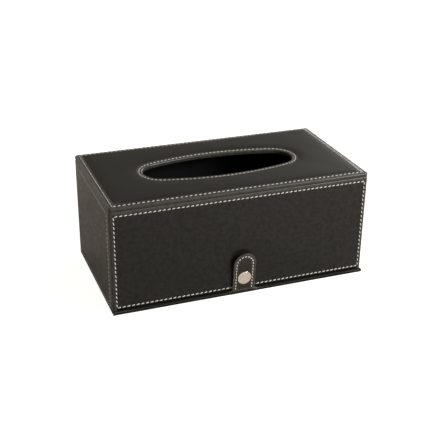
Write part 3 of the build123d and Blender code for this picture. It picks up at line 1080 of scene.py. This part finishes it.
def make_front_leather(sizes):
    """Front panel: wraps both corners, turns in at the top and over the drawer's slot."""
    low = (-half_width, front_y, tab_bottom)
    high = (half_width, wrap_end_y, wall_top)
    piece = add_block("front_leather", low, high)
    bpy.ops.object.mode_set(mode="EDIT")
    delete_faces(piece, lambda f: f.normal.y > 0.9 or f.normal.z < -0.9)
    bevel_edges(
        piece,
        lambda e: edge_runs(e, 2) and near(edge_middle(e).y, front_y),
        sizes.corner_radius, CORNER_STRIPS,
    )
    bevel_edges(
        piece,
        lambda e: near(edge_middle(e).z, wall_top)
        and (edge_middle(e).y < wrap_end_y - 0.1 * MM or edge_runs(e, 1)),
        sizes.wall_roll, ROLL_STRIPS,
    )
    # The drawer's slot, and the leather turned in over it.
    cut_across(0, -inner_half_x)
    cut_across(0, inner_half_x)
    cut_across(2, slot_top + SLOT_SHADE)
    cut_across(2, slot_top)
    delete_faces(
        piece,
        lambda f: abs(f.calc_center_median().x) < inner_half_x
        and f.calc_center_median().z < slot_top,
    )

    def over_slot(edge):
        middle = edge_middle(edge)
        return near(middle.z, slot_top) and abs(middle.x) < inner_half_x

    pick(
        piece, "EDGE",
        lambda e: over_slot(e) and edge_runs(e, 0) and len(e.link_faces) == 1,
    )
    bpy.ops.mesh.extrude_edges_move(
        TRANSFORM_OT_translate={"value": (0, inner_front_y - front_y, 0)}
    )
    bevel_edges(
        piece,
        lambda e: over_slot(e) and near(edge_middle(e).y, front_y)
        and len(e.link_faces) == 2,
        sizes.slot_roll, ROLL_STRIPS,
    )
    # Over the board's top the leather is as deep as the board.
    cut_across(1, inner_front_y)
    delete_faces(
        piece,
        lambda f: f.normal.z > 0.9 and f.calc_center_median().y > inner_front_y
        and abs(f.calc_center_median().x) < inner_half_x,
    )
    rows_x = (-FRONT_ROW_X, FRONT_ROW_X)
    press_rows(piece, 1, -1, rows_x, FRONT_ROW_LEVELS, rows_x, sizes)
    # The wall's lower edge over the slot is painted dark as the lip's shade, with no rubbed highlight.
    shade_top = slot_top + SLOT_SHADE
    end_wall(
        piece, "front_cover",
        lambda point: float(point.z < shade_top and abs(point.x) < inner_half_x),
    )


def make_side_leather(sizes, name, node, way):
    """Side panel: from behind the front leather's edge round the rear corner."""
    low = (min(way * inner_half_x, way * half_width), wrap_end_y, 0)
    high = (max(way * inner_half_x, way * half_width), rear_y, wall_top)
    piece = add_block(name, low, high)
    bpy.ops.object.mode_set(mode="EDIT")
    delete_faces(piece, lambda f: f.normal.x * way < -0.9 or f.normal.y < -0.9)
    bevel_edges(
        piece,
        lambda e: edge_runs(e, 2) and near(edge_middle(e).x, way * half_width)
        and near(edge_middle(e).y, rear_y),
        sizes.corner_radius, CORNER_STRIPS,
    )
    for level, radius in ((wall_top, sizes.wall_roll), (0, sizes.floor_roll)):
        bevel_edges(
            piece,
            lambda e: near(edge_middle(e).z, level) and len(e.link_faces) == 2,
            radius, ROLL_STRIPS,
        )
    cut_across(0, way * rear_seam_x)
    delete_faces(
        piece,
        lambda f: f.calc_center_median().x * way < rear_seam_x
        and f.calc_center_median().y > rear_y - sizes.corner_radius,
    )
    row_y = front_y + SIDE_ROW_SETBACK
    run = (row_y, rear_y - sizes.corner_radius)
    press_rows(piece, 0, way, (row_y,), SIDE_ROW_LEVELS, run, sizes)
    end_wall(piece, node)


def make_rear_leather(sizes):
    """Rear panel, between the two rear corners."""
    low = (-rear_seam_x, inner_rear_y, 0)
    high = (rear_seam_x, rear_y, wall_top)
    piece = add_block("rear_leather", low, high)
    bpy.ops.object.mode_set(mode="EDIT")
    delete_faces(piece, lambda f: f.normal.y < -0.9 or abs(f.normal.x) > 0.9)
    for level, radius in ((wall_top, sizes.wall_roll), (0, sizes.floor_roll)):
        bevel_edges(
            piece,
            lambda e: near(edge_middle(e).z, level) and near(edge_middle(e).y, rear_y),
            radius, ROLL_STRIPS,
        )
    rows_x = (-REAR_ROW_X, REAR_ROW_X)
    press_rows(piece, 1, 1, rows_x, SIDE_ROW_LEVELS, rows_x, sizes)
    end_wall(piece, "rear_cover")


# ---- Stitches ------------------------------------------------------------------------
STITCH_SLANT = 12.0  # degrees from its row
STITCH_SHARE = 0.78  # of the pitch that a stitch covers
STITCH_LIE = 0.22  # of its width that its middle stands above the leather
STITCH_CUTS = (0.42, 0.30, 0.0, -0.30, -0.42)  # along it, as shares of its length
STITCH_DIVE = 0.7  # of the way from its middle to its end, where it starts to sink
OVAL_PITCH = 0.93  # of the other rows' pitch, round the opening
PATH_POINTS = 400  # along a curved row
# How far stitches differ: slant in degrees, shares of length and width, and lift.
SLANT_SPREAD, LENGTH_SPREAD, WIDTH_SPREAD, LIFT_SPREAD = 2.0, 0.015, 0.04, 0.03 * MM


def make_stitch(length, width):
    """One stitch along X: a thread that comes out of its hole and dives into the next."""
    clear_selection()
    bpy.ops.mesh.primitive_cylinder_add(
        vertices=8, radius=width / 2, depth=length, end_fill_type="NGON",
        rotation=(0, TURN / 4, 0),
    )
    stitch = settle(bpy.context.active_object, "stitch")
    bpy.ops.object.mode_set(mode="EDIT")
    for share in STITCH_CUTS:
        cut_across(0, share * length)
    bpy.ops.object.mode_set(mode="OBJECT")
    points = np.array([v.co for v in stitch.data.vertices])
    share = np.abs(points[:, 0]) / (length / 2)
    # The ends sink into the leather and thin out; the middle lies flat on it.
    sink = np.clip((share - STITCH_DIVE) / (1 - STITCH_DIVE), 0, 1) ** 1.6
    points[:, 1] *= 1 - 0.35 * sink
    points[:, 2] = points[:, 2] * (0.74 - 0.2 * sink) - width * 0.95 * sink
    points[:, 0] *= 1 - 0.04 * sink
    for vert, point in zip(stitch.data.vertices, points):
        vert.co = point
    layer = stitch.data.uv_layers.active or stitch.data.uv_layers.new(name="UVMap")
    for loop in stitch.data.loops:
        x, y, z = stitch.data.vertices[loop.vertex_index].co
        layer.data[loop.index].uv = (x / length + 0.5, np.arctan2(z, y) / TURN + 0.5)
    return stitch


def straight_row(start, end, out, pitch):
    """Places of the stitches of a straight row: middle, step and outward way."""
    start, end = Vector(start), Vector(end)
    count = max(round((end - start).length / pitch), 1)
    step = (end - start) / count
    return [(start + step * (i + 0.5), step, Vector(out)) for i in range(count)]


def chain_row(corners, out, pitch):
    """Straight rows that meet in shared holes at their corners."""
    rows = []
    for start, end in zip(corners, corners[1:]):
        rows += straight_row(start, end, out, pitch)
    return rows


def path_row(points, out, pitch):
    """Places of the stitches along a curved path."""
    points = [Vector(p) for p in points]
    lengths = np.cumsum([0.0] + [(b - a).length for a, b in zip(points, points[1:])])
    marks = np.linspace(0, lengths[-1], round(lengths[-1] / pitch) + 1)
    columns = np.array([list(p) for p in points])
    holes = [
        Vector([np.interp(mark, lengths, columns[:, axis]) for axis in range(3)])
        for mark in marks
    ]
    return [((a + b) / 2, b - a, Vector(out)) for a, b in zip(holes, holes[1:])]


def make_stitches(name, rows, width, body, seed):
    """Join one piece of thread work from copies of a stitch, each a little different."""
    draw = np.random.default_rng(seed)
    length = float(np.mean([step.length for _, step, _ in rows]))
    stitch = make_stitch(length * STITCH_SHARE, width)
    points = np.array([v.co for v in stitch.data.vertices])
    faces = [tuple(p.vertices) for p in stitch.data.polygons]
    uvs = [tuple(u.uv) for u in stitch.data.uv_layers.active.data]
    bpy.data.objects.remove(stitch)
    all_points, all_faces = [], []
    for middle, step, out in rows:
        along = step.normalized()
        side = out.cross(along).normalized()
        slant = STITCH_SLANT + draw.normal(0, SLANT_SPREAD)
        turn = Matrix.Rotation(np.radians(slant), 3, out)
        basis = turn @ Matrix((along, side, out)).transposed()
        stretch = step.length / length * (1 + draw.normal(0, LENGTH_SPREAD))
        shape = points * (stretch, 1 + draw.normal(0, WIDTH_SPREAD), 1)
        lift = draw.normal(0, LIFT_SPREAD)
        placed = shape @ np.array(basis).T + np.array(middle + out * lift)
        base = len(all_points)
        all_points += placed.tolist()
        all_faces += [tuple(base + i for i in face) for face in faces]
    piece = mesh_piece(name, all_points, all_faces)
    layer = piece.data.uv_layers.new(name="UVMap")
    layer.data.foreach_set("uv", np.tile(np.array(uvs).ravel(), len(rows)))
    smooth(piece, 50)
    dress(piece, finishes["thread"], body)
    return piece


def make_casing_stitches(sizes):
    """Every row on the casing: lid edge, opening, front, rear and sides."""
    width, pitch = sizes.thread_width, sizes.stitch_pitch
    lie = width * STITCH_LIE - sizes.seam_depth

    def sew(name, corners, out, seed):
        make_stitches(name, chain_row(corners, out, pitch), width, "casing", seed)

    x, y = half_width - lid_seam_inset, half_depth - lid_seam_inset
    top = lid_rim_top + lie
    near_y, far_y = mid_y - y, mid_y + y
    corners = [(x, near_y, top), (x, far_y, top), (-x, far_y, top), (-x, near_y, top)]
    sew("lid_edge_stitches", corners + corners[:1], (0, 0, 1), 1)
    oval = oval_outline(sizes, sizes.opening_seam, PATH_POINTS)
    points = [(px, py + mid_y, top) for px, py in oval]
    rows = path_row(points + points[:1], (0, 0, 1), pitch * OVAL_PITCH)
    make_stitches("opening_stitches", rows, width, "casing", 2)
    for name, way, y, x, (high, low), seed in (
        ("front_stitches", -1, front_y - lie, FRONT_ROW_X, FRONT_ROW_LEVELS, 3),
        ("rear_stitches", 1, rear_y + lie, -REAR_ROW_X, SIDE_ROW_LEVELS, 4),
    ):
        corners = [(-x, y, low), (x, y, low), (x, y, high), (-x, y, high)]
        sew(name, corners + corners[:1], (0, way, 0), seed)
    high, low = SIDE_ROW_LEVELS
    start, end = front_y + SIDE_ROW_SETBACK, rear_y - sizes.corner_radius
    for name, way, seed in (("left_stitches", -1, 5), ("right_stitches", 1, 6)):
        x = way * (half_width + lie)
        corners = [(x, end, high), (x, start, high), (x, start, low), (x, end, low)]
        sew(name, corners, (way, 0, 0), seed)


# ---- Drawer --------------------------------------------------------------------------
STRIP_GAP = 0.3 * MM  # between the front wall and what lies in front of it
LIP_OVERLAP = 0.6 * MM  # of the leather behind the lip's core
SHEET = 0.6 * MM  # thickness of the leather under the tray
NOSE_FLAT = 0.35 * MM  # half the flat left on the lip's round front
NOSE_STRIPS = 6
TAIL_REACH = 12.5 * MM  # half the width that swells over the strap's tail
SWELL_DEPTH, SWELL_RISE = 0.3 * MM, 0.12 * MM
LIP_FLATNESS = 0.5  # taken off the round lip's upper half beside the tail
UNDERSIDE_SHADE = 0.7  # of the lip's lower side, against 1 behind its crest
LIP_WAVES = ((0.09 * MM, 96, 0.7), (0.05 * MM, 211, 0))  # height, turn rate, start
LIP_SLICES = [*np.linspace(-104, -20, 11), *np.linspace(-14, 14, 15),
              *np.linspace(20, 104, 11)]


def make_drawer_leather():
    """Drawer leather: round lip, the sheet below the tray and the flap on top of it."""
    low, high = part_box("drawer_cover")
    board_low, board_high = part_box("drawer_board")
    strip_back = front_y - STRIP_GAP
    lip_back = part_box("lip_core")[1].y + LIP_OVERLAP
    half_tray = board_high.x
    sheet_low = board_low.z - SHEET
    flap_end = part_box("strap_anchor")[1].y
    piece = add_block("drawer_leather", low, (high.x, strip_back, high.z))
    bpy.ops.object.mode_set(mode="EDIT")
    cut_across(0, -half_tray)
    cut_across(0, half_tray)
    pick(
        piece, "FACE",
        lambda f: f.normal.y > 0.9 and abs(f.calc_center_median().x) < half_tray,
    )
    bpy.ops.mesh.extrude_region_move(
        TRANSFORM_OT_translate={"value": (0, lip_back - strip_back, 0)}
    )
    for level in (sheet_low, board_low.z, board_high.z):
        cut_across(2, level)
    for bottom, top, reach in (
        (sheet_low, board_low.z, high.y),
        (board_high.z, high.z, flap_end),
    ):
        pick(
            piece, "FACE",
            lambda f: f.normal.y > 0.9 and near(f.calc_center_median().y, lip_back)
            and bottom < f.calc_center_median().z < top,
        )
        bpy.ops.mesh.extrude_region_move(
            TRANSFORM_OT_translate={"value": (0, reach - lip_back, 0)}
        )
    nose = (high.z - low.z) / 2
    bevel_edges(
        piece,
        lambda e: edge_runs(e, 0) and near(edge_middle(e).y, low.y)
        and (near(edge_middle(e).z, low.z) or near(edge_middle(e).z, high.z)),
        nose - NOSE_FLAT, NOSE_STRIPS,
    )
    # Slices along the lip let it swell over the strap's tail and waver slightly.
    for place in LIP_SLICES:
        cut_across(0, place * MM)
    end_edit()
    # Over the strap's tail the round lip is fuller, and squarer at its upper edge.
    middle_y, middle_z = low.y + nose, low.z + nose
    for vert in piece.data.vertices:
        x, y, z = vert.co
        swell = np.exp(-((x / TAIL_REACH) ** 8))
        wave = sum(height * np.sin(x * rate + at) for height, rate, at in LIP_WAVES)
        if y < middle_y:
            dy, dz = (middle_y - y) / nose, (z - middle_z) / nose
            fuller, lower = 1.0, 1.0
            if dz > 0:
                squarer = (dy**2 + dz**2) ** 0.5 / (dy**5 + dz**5) ** 0.2
                fuller += swell * (squarer - 1)
                lower -= LIP_FLATNESS * min(dy / 0.7, 1) * (1 - swell)
            out = dy * nose * fuller + SWELL_DEPTH * swell * dy - wave * dy
            vert.co.y = middle_y - out
            vert.co.z = middle_z + dz * nose * fuller * lower
        if y < front_y and z > middle_z:
            vert.co.z += SWELL_RISE * swell + wave * 0.5
    smooth(piece)

    # Painted shade: the lip's top behind its crest is painted dark as the gap's shadow, and its lower side darker
    # as shade.
    def in_painted_shade(point):
        behind_crest = point.y > low.y + MM and abs(point.x) > TAIL_REACH
        below = point.z < low.z + 0.9 * nose
        return max(float(behind_crest), UNDERSIDE_SHADE * float(below))

    mark_folds(piece, in_painted_shade)
    dress(piece, finishes["walls"], "drawer", ("drawer_cover",))


# ---- Strap ---------------------------------------------------------------------------
STRAP_LEAN = np.radians(5.5)
STRAP_WIDTH = 21.0 * MM
STRAP_LENGTH = 36.5 * MM
STRAP_LEATHER = 0.8 * MM
STRAP_ROW_INSET = 2.8 * MM
STRAP_ROW_ROOT = -0.6 * MM  # where the stitches start, up the strap from its hinge
STRAP_FOOT = -0.85 * MM  # where the leathers end in the lip
STRAP_TAIL = 8 * MM  # drawn beyond the foot, and cut off once its edges are finished
STRAP_BOW = 0.35 * MM
STRAP_EDGE_ROLL = 0.28 * MM
STRAP_FURROW = 0.28 * MM
STRAP_SHOULDER = STRAP_LENGTH - STRAP_WIDTH / 2
STRAP_SLICES = (-1.5, -1.0, -0.5, 0, 0.5, 1.0, 1.5, 2.0, 3, 5, 8, 12, 16, 20, 24)
# From the edge inwards: how far to the next ring, and how much higher it lies.
STRAP_RINGS = (
    (0.35 * MM, 0.0),
    (STRAP_ROW_INSET - 1.15 * MM, 0.0),
    (0.4 * MM, -STRAP_FURROW * 4 / 7),
    (0.4 * MM, -STRAP_FURROW * 3 / 7),
    (0.4 * MM, 0.18 * MM),
    (0.7 * MM, 0.16 * MM),
    (1.5 * MM, 0.05 * MM),
)
joint = next(j for j in frame["joints"] if j["name"] == "strap_hinge")
hinge = Vector(joint["pos_m"])
strap_up = Vector((0, -np.sin(STRAP_LEAN), np.cos(STRAP_LEAN)))
strap_out = Vector((0, -np.cos(STRAP_LEAN), -np.sin(STRAP_LEAN)))
strap_frame = Matrix.Translation(hinge) @ Matrix(
    (Vector((1, 0, 0)), strap_up, strap_out)
).transposed().to_4x4()


def strap_bow(y):
    """How far the strap bows outwards towards its free end."""
    return STRAP_BOW * (max(y, 0) / STRAP_LENGTH) ** 2


def bend_with_strap(piece):
    """Put a strap piece's place into its mesh."""
    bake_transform(piece)


def make_strap_leather(name, node, way):
    """One of the strap's two leathers, furrowed along its stitches.

    It is drawn flat, X across and Y up the strap, and then stood on its hinge. Its root
    goes on into the lip."""
    clear_selection()
    bpy.ops.mesh.primitive_cylinder_add(
        vertices=96, radius=STRAP_WIDTH / 2, depth=STRAP_LEATHER,
        location=(0, STRAP_SHOULDER, STRAP_LEATHER / 2),
    )
    piece = settle(bpy.context.active_object, name)
    bpy.ops.object.mode_set(mode="EDIT")
    cut_across(1, STRAP_SHOULDER, drop_low=True)
    pick(piece, "EDGE", lambda e: len(e.link_faces) == 1)
    bpy.ops.mesh.extrude_edges_move(
        TRANSFORM_OT_translate={"value": (0, STRAP_FOOT - STRAP_TAIL - STRAP_SHOULDER, 0)}
    )
    pick(piece, "FACE", lambda f: f.normal.z > 0.9)
    for inset, lift in STRAP_RINGS:
        bpy.ops.mesh.inset(thickness=inset, depth=0, use_even_offset=True)
        if lift:
            bpy.ops.transform.translate(value=(0, 0, lift))
    bevel_edges(
        piece,
        lambda e: near(edge_middle(e).z, STRAP_LEATHER) and len(e.link_faces) == 2
        and any(abs(f.normal.z) < 0.2 for f in e.link_faces),
        STRAP_EDGE_ROLL, 3,
    )
    cut_across(1, STRAP_FOOT, drop_low=True)
    pick(piece, "EDGE", lambda e: len(e.link_faces) == 1)
    bpy.ops.mesh.edge_face_add()
    for place in STRAP_SLICES:
        cut_across(1, place * MM)
    end_edit()
    for vert in piece.data.vertices:
        vert.co.z = way * vert.co.z + strap_bow(vert.co.y)
    piece.data.transform(strap_frame)
    mend_normals(piece)
    smooth(piece)
    mark_folds(piece)
    dress(piece, finishes["strap"], None, (node,))
    bend_with_strap(piece)


def make_strap_stitches(name, way, sizes, seed):
    """The strap's one row, up one side, round the end and down the other."""
    half = STRAP_WIDTH / 2 - STRAP_ROW_INSET
    points = [(-half, STRAP_ROW_ROOT), (-half, STRAP_SHOULDER)]
    for angle in np.linspace(TURN / 2, 0, 25)[1:]:
        points.append((half * np.cos(angle), STRAP_SHOULDER + half * np.sin(angle)))
    points.append((half, STRAP_ROW_ROOT))
    level = way * (STRAP_LEATHER - STRAP_FURROW + sizes.thread_width * 0.2)
    corners = range(len(points))
    placed = []
    for mark in np.linspace(0, len(points) - 1, PATH_POINTS):
        x, y = (np.interp(mark, corners, column) for column in zip(*points))
        placed.append(strap_frame @ Vector((x, y, level + strap_bow(y))))
    rows = path_row(placed, strap_out * way, sizes.strap_pitch)
    bend_with_strap(make_stitches(name, rows, sizes.thread_width, None, seed))


# ---- Press stud ----------------------------------------------------------------------
CAP_RADIUS = 6.3 * MM
CAP_RIM = 0.4 * MM
CAP_DOME = 0.62 * MM
CAP_RINGS = 12
CAP_FOOT, CAP_UNDERCUT = 0.45 * MM, 0.5 * MM
CAP_STAND = 0.25 * MM  # of the rim above the strap's leather
CAP_ROLL = 0.17 * MM


def make_stud_cap():
    """Domed cap with a rolled rim, pressed on the strap."""
    level = STRAP_LEATHER + CAP_STAND
    clear_selection()
    bpy.ops.mesh.primitive_cylinder_add(
        vertices=64, radius=CAP_RADIUS, depth=CAP_RIM,
        location=(0, 0, level + CAP_RIM / 2),
    )
    cap = settle(bpy.context.active_object, "stud_cap")
    bpy.ops.object.mode_set(mode="EDIT")
    # The foot below the rim is narrower, so that the rim shades the leather.
    pick(cap, "FACE", lambda f: f.normal.z < -0.9)
    bpy.ops.mesh.inset(thickness=CAP_UNDERCUT, depth=0)
    bpy.ops.mesh.extrude_region_move(TRANSFORM_OT_translate={"value": (0, 0, -CAP_FOOT)})
    pick(cap, "FACE", lambda f: f.normal.z > 0.9)
    before = CAP_RADIUS
    for step in range(1, CAP_RINGS):
        after = CAP_RADIUS * (1 - step / CAP_RINGS) ** 1.2
        bpy.ops.mesh.inset(thickness=before - after, depth=0)
        rise = CAP_DOME * ((before / CAP_RADIUS) ** 2 - (after / CAP_RADIUS) ** 2)
        bpy.ops.transform.translate(value=(0, 0, rise))
        before = after
    bevel_edges(
        cap,
        lambda e: near(edge_middle(e).xy.length, CAP_RADIUS, 0.1 * MM)
        and any(abs(f.normal.z) > 0.5 for f in e.link_faces),
        CAP_ROLL, 4,
    )
    bpy.ops.object.mode_set(mode="OBJECT")
    stud_low, stud_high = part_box("snap_rivet")
    height = ((stud_low.z + stud_high.z) / 2 - hinge.z) / np.cos(STRAP_LEAN)
    for vert in cap.data.vertices:
        vert.co.y += height
        vert.co.z += strap_bow(height)
    cap.data.transform(strap_frame)
    mend_normals(cap)
    smooth(cap, 50)
    dress(cap, finishes["metal"], "strap", ("snap_cap",))


# ---- Stage ---------------------------------------------------------------------------
FLOOR_GLOW = 0.88  # of the floor's white that the camera sees, the rest being lit
FLOOR_IN_GLOSS = 0.05
ROOM_IN_GLOSS = 0.85


def background_share(tree, in_gloss):
    """1 for rays from the camera, and less for those that gloss and glass send on."""
    seen = add_node(tree, "ShaderNodeLightPath").outputs
    share = math_node(tree, "MAXIMUM", seen["Is Glossy Ray"], seen["Is Transmission Ray"])
    return math_node(tree, "MAXIMUM", times(tree, share, in_gloss), seen["Is Camera Ray"])


def make_floor(colour):
    """Pale matt floor that shows the camera white and keeps the object's shadow."""
    clear_selection()
    bpy.ops.mesh.primitive_plane_add(size=6, location=(0, 0, 0))
    floor = settle(bpy.context.active_object, "floor")
    material = bpy.data.materials.new("Pale Floor")
    material.use_nodes = True
    material.cycles.emission_sampling = "NONE"
    tree = material.node_tree
    shader = tree.nodes["Principled BSDF"]
    shader.inputs["Base Color"].default_value = colour
    shader.inputs["Roughness"].default_value = 0.9
    shader.inputs["Specular IOR Level"].default_value = 0.0
    share = background_share(tree, FLOOR_IN_GLOSS)
    glow = add_node(
        tree, "ShaderNodeEmission",
        {"Color": (1, 1, 1, 1), "Strength": times(tree, share, FLOOR_GLOW)},
    )
    shaders = {0: shader.outputs[0], 1: glow.outputs[0]}
    both = add_node(tree, "ShaderNodeAddShader", shaders)
    tree.links.new(both.outputs[0], tree.nodes["Material Output"].inputs["Surface"])
    floor.data.materials.append(material)


def make_room(strength):
    """Even, slightly warm light all round, in front of a white background."""
    world = bpy.data.worlds.new("Pale Room")
    bpy.context.scene.world = world
    world.use_nodes = True
    tree = world.node_tree
    sky = tree.nodes["Background"].inputs
    camera_ray = add_node(tree, "ShaderNodeLightPath").outputs["Is Camera Ray"]
    white, warm = (1, 1, 1, 1), (1.0, 0.89, 0.78, 1)
    feed(tree, sky["Color"], mixed(tree, camera_ray, warm, white))
    share = background_share(tree, ROOM_IN_GLOSS)
    feed(tree, sky["Strength"], mapped(tree, share, 0, 1, strength, 1.0))


def add_lamp(name, place, aim, power, size):
    """A large round soft lamp that faces a point."""
    clear_selection()
    bpy.ops.object.light_add(type="AREA", location=place)
    lamp = bpy.context.active_object
    lamp.name = name
    lamp.data.energy = power
    lamp.data.shape = "DISK"
    lamp.data.size = size
    way = Vector(aim) - lamp.location
    lamp.rotation_euler = way.to_track_quat("-Z", "Y").to_euler()


def make_stage(stage):
    """Pale floor, even light, two large soft lamps and the camera."""
    make_floor(stage.floor_colour)
    make_room(stage.room_light)
    add_lamp("key_lamp", (1.0, -1.0, 0.7), (0, 0, 0.05), stage.key_light, 0.5)
    add_lamp("sheen_lamp", (1.5, 1.5, 0.75), (0.05, 0, 0.1), stage.sheen_light, 0.9)
    clear_selection()
    bpy.ops.object.camera_add(location=stage.camera_place, rotation=stage.camera_turn)
    camera = bpy.context.active_object
    camera.name = "camera"
    camera.data.lens = stage.lens
    camera.data.sensor_width = 36
    camera.data.clip_start, camera.data.clip_end = 0.01, 50
    bpy.context.scene.camera = camera
    bpy.context.scene.view_settings.view_transform = "Standard"


# ---- Operators and panel -------------------------------------------------------------
class TISSUEBOX_OT_finishes(bpy.types.Operator):
    """Build every material and put it on the pieces that show as they are"""

    bl_idname = "tissue_box.finishes"
    bl_label = "Finishes"

    def execute(self, context):
        make_finishes(context.scene.tissue_box_finishes)
        dress_frame_nodes()
        return {"FINISHED"}


class TISSUEBOX_OT_lid(bpy.types.Operator):
    """Make the padded lid leather"""

    bl_idname = "tissue_box.lid"
    bl_label = "Lid Leather"

    def execute(self, context):
        make_lid_leather(context.scene.tissue_box_sizes)
        return {"FINISHED"}


class TISSUEBOX_OT_walls(bpy.types.Operator):
    """Make the leather of the four walls"""

    bl_idname = "tissue_box.walls"
    bl_label = "Wall Leather"

    def execute(self, context):
        sizes = context.scene.tissue_box_sizes
        make_front_leather(sizes)
        make_side_leather(sizes, "left_leather", "left_cover", -1)
        make_side_leather(sizes, "right_leather", "right_cover", 1)
        make_rear_leather(sizes)
        return {"FINISHED"}


class TISSUEBOX_OT_stitches(bpy.types.Operator):
    """Sew every stitch row of the casing"""

    bl_idname = "tissue_box.stitches"
    bl_label = "Casing Stitches"

    def execute(self, context):
        make_casing_stitches(context.scene.tissue_box_sizes)
        return {"FINISHED"}


class TISSUEBOX_OT_drawer(bpy.types.Operator):
    """Make the drawer's leather and its round lip"""

    bl_idname = "tissue_box.drawer"
    bl_label = "Drawer Leather"

    def execute(self, context):
        make_drawer_leather()
        return {"FINISHED"}


class TISSUEBOX_OT_strap(bpy.types.Operator):
    """Make the strap's two leathers and their stitches"""

    bl_idname = "tissue_box.strap"
    bl_label = "Strap"

    def execute(self, context):
        sizes = context.scene.tissue_box_sizes
        make_strap_leather("strap_outer_leather", "strap_face", 1)
        make_strap_leather("strap_inner_leather", "strap_back", -1)
        make_strap_stitches("strap_outer_stitches", 1, sizes, 7)
        make_strap_stitches("strap_inner_stitches", -1, sizes, 8)
        return {"FINISHED"}


class TISSUEBOX_OT_press_stud(bpy.types.Operator):
    """Make the press stud's cap"""

    bl_idname = "tissue_box.press_stud"
    bl_label = "Press Stud"

    def execute(self, context):
        make_stud_cap()
        return {"FINISHED"}


class TISSUEBOX_OT_stage(bpy.types.Operator):
    """Make the floor, the light and the camera"""

    bl_idname = "tissue_box.stage"
    bl_label = "Stage"

    def execute(self, context):
        make_stage(context.scene.tissue_box_stage)
        return {"FINISHED"}


OPERATORS = (
    TISSUEBOX_OT_finishes,
    TISSUEBOX_OT_lid,
    TISSUEBOX_OT_walls,
    TISSUEBOX_OT_stitches,
    TISSUEBOX_OT_drawer,
    TISSUEBOX_OT_strap,
    TISSUEBOX_OT_press_stud,
    TISSUEBOX_OT_stage,
)


class TISSUEBOX_PT_sidebar(bpy.types.Panel):
    """Steps of the build, in order, with their sizes and colours"""

    bl_idname = "TISSUEBOX_PT_sidebar"
    bl_label = "Tissue Box"
    bl_space_type = "VIEW_3D"
    bl_region_type = "UI"
    bl_category = "Tissue Box"

    def draw(self, context):
        for operator in OPERATORS:
            self.layout.operator(operator.bl_idname)
        for group in SETTINGS:
            for name in group.__annotations__:
                self.layout.prop(getattr(context.scene, SETTINGS[group]), name)


SETTINGS = {
    TissueBoxSizes: "tissue_box_sizes",
    TissueBoxFinishes: "tissue_box_finishes",
    TissueBoxStage: "tissue_box_stage",
}


def register():
    for group, name in SETTINGS.items():
        bpy.utils.register_class(group)
        setattr(bpy.types.Scene, name, bpy.props.PointerProperty(type=group))
    for operator in OPERATORS:
        bpy.utils.register_class(operator)
    bpy.utils.register_class(TISSUEBOX_PT_sidebar)


def unregister():
    bpy.utils.unregister_class(TISSUEBOX_PT_sidebar)
    for operator in reversed(OPERATORS):
        bpy.utils.unregister_class(operator)
    for group, name in SETTINGS.items():
        delattr(bpy.types.Scene, name)
        bpy.utils.unregister_class(group)


def main():
    """Build the whole piece."""
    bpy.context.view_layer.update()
    register()
    for operator in OPERATORS:
        group, name = operator.bl_idname.split(".")
        getattr(getattr(bpy.ops, group), name)()


if __name__ == "__main__":
    main()
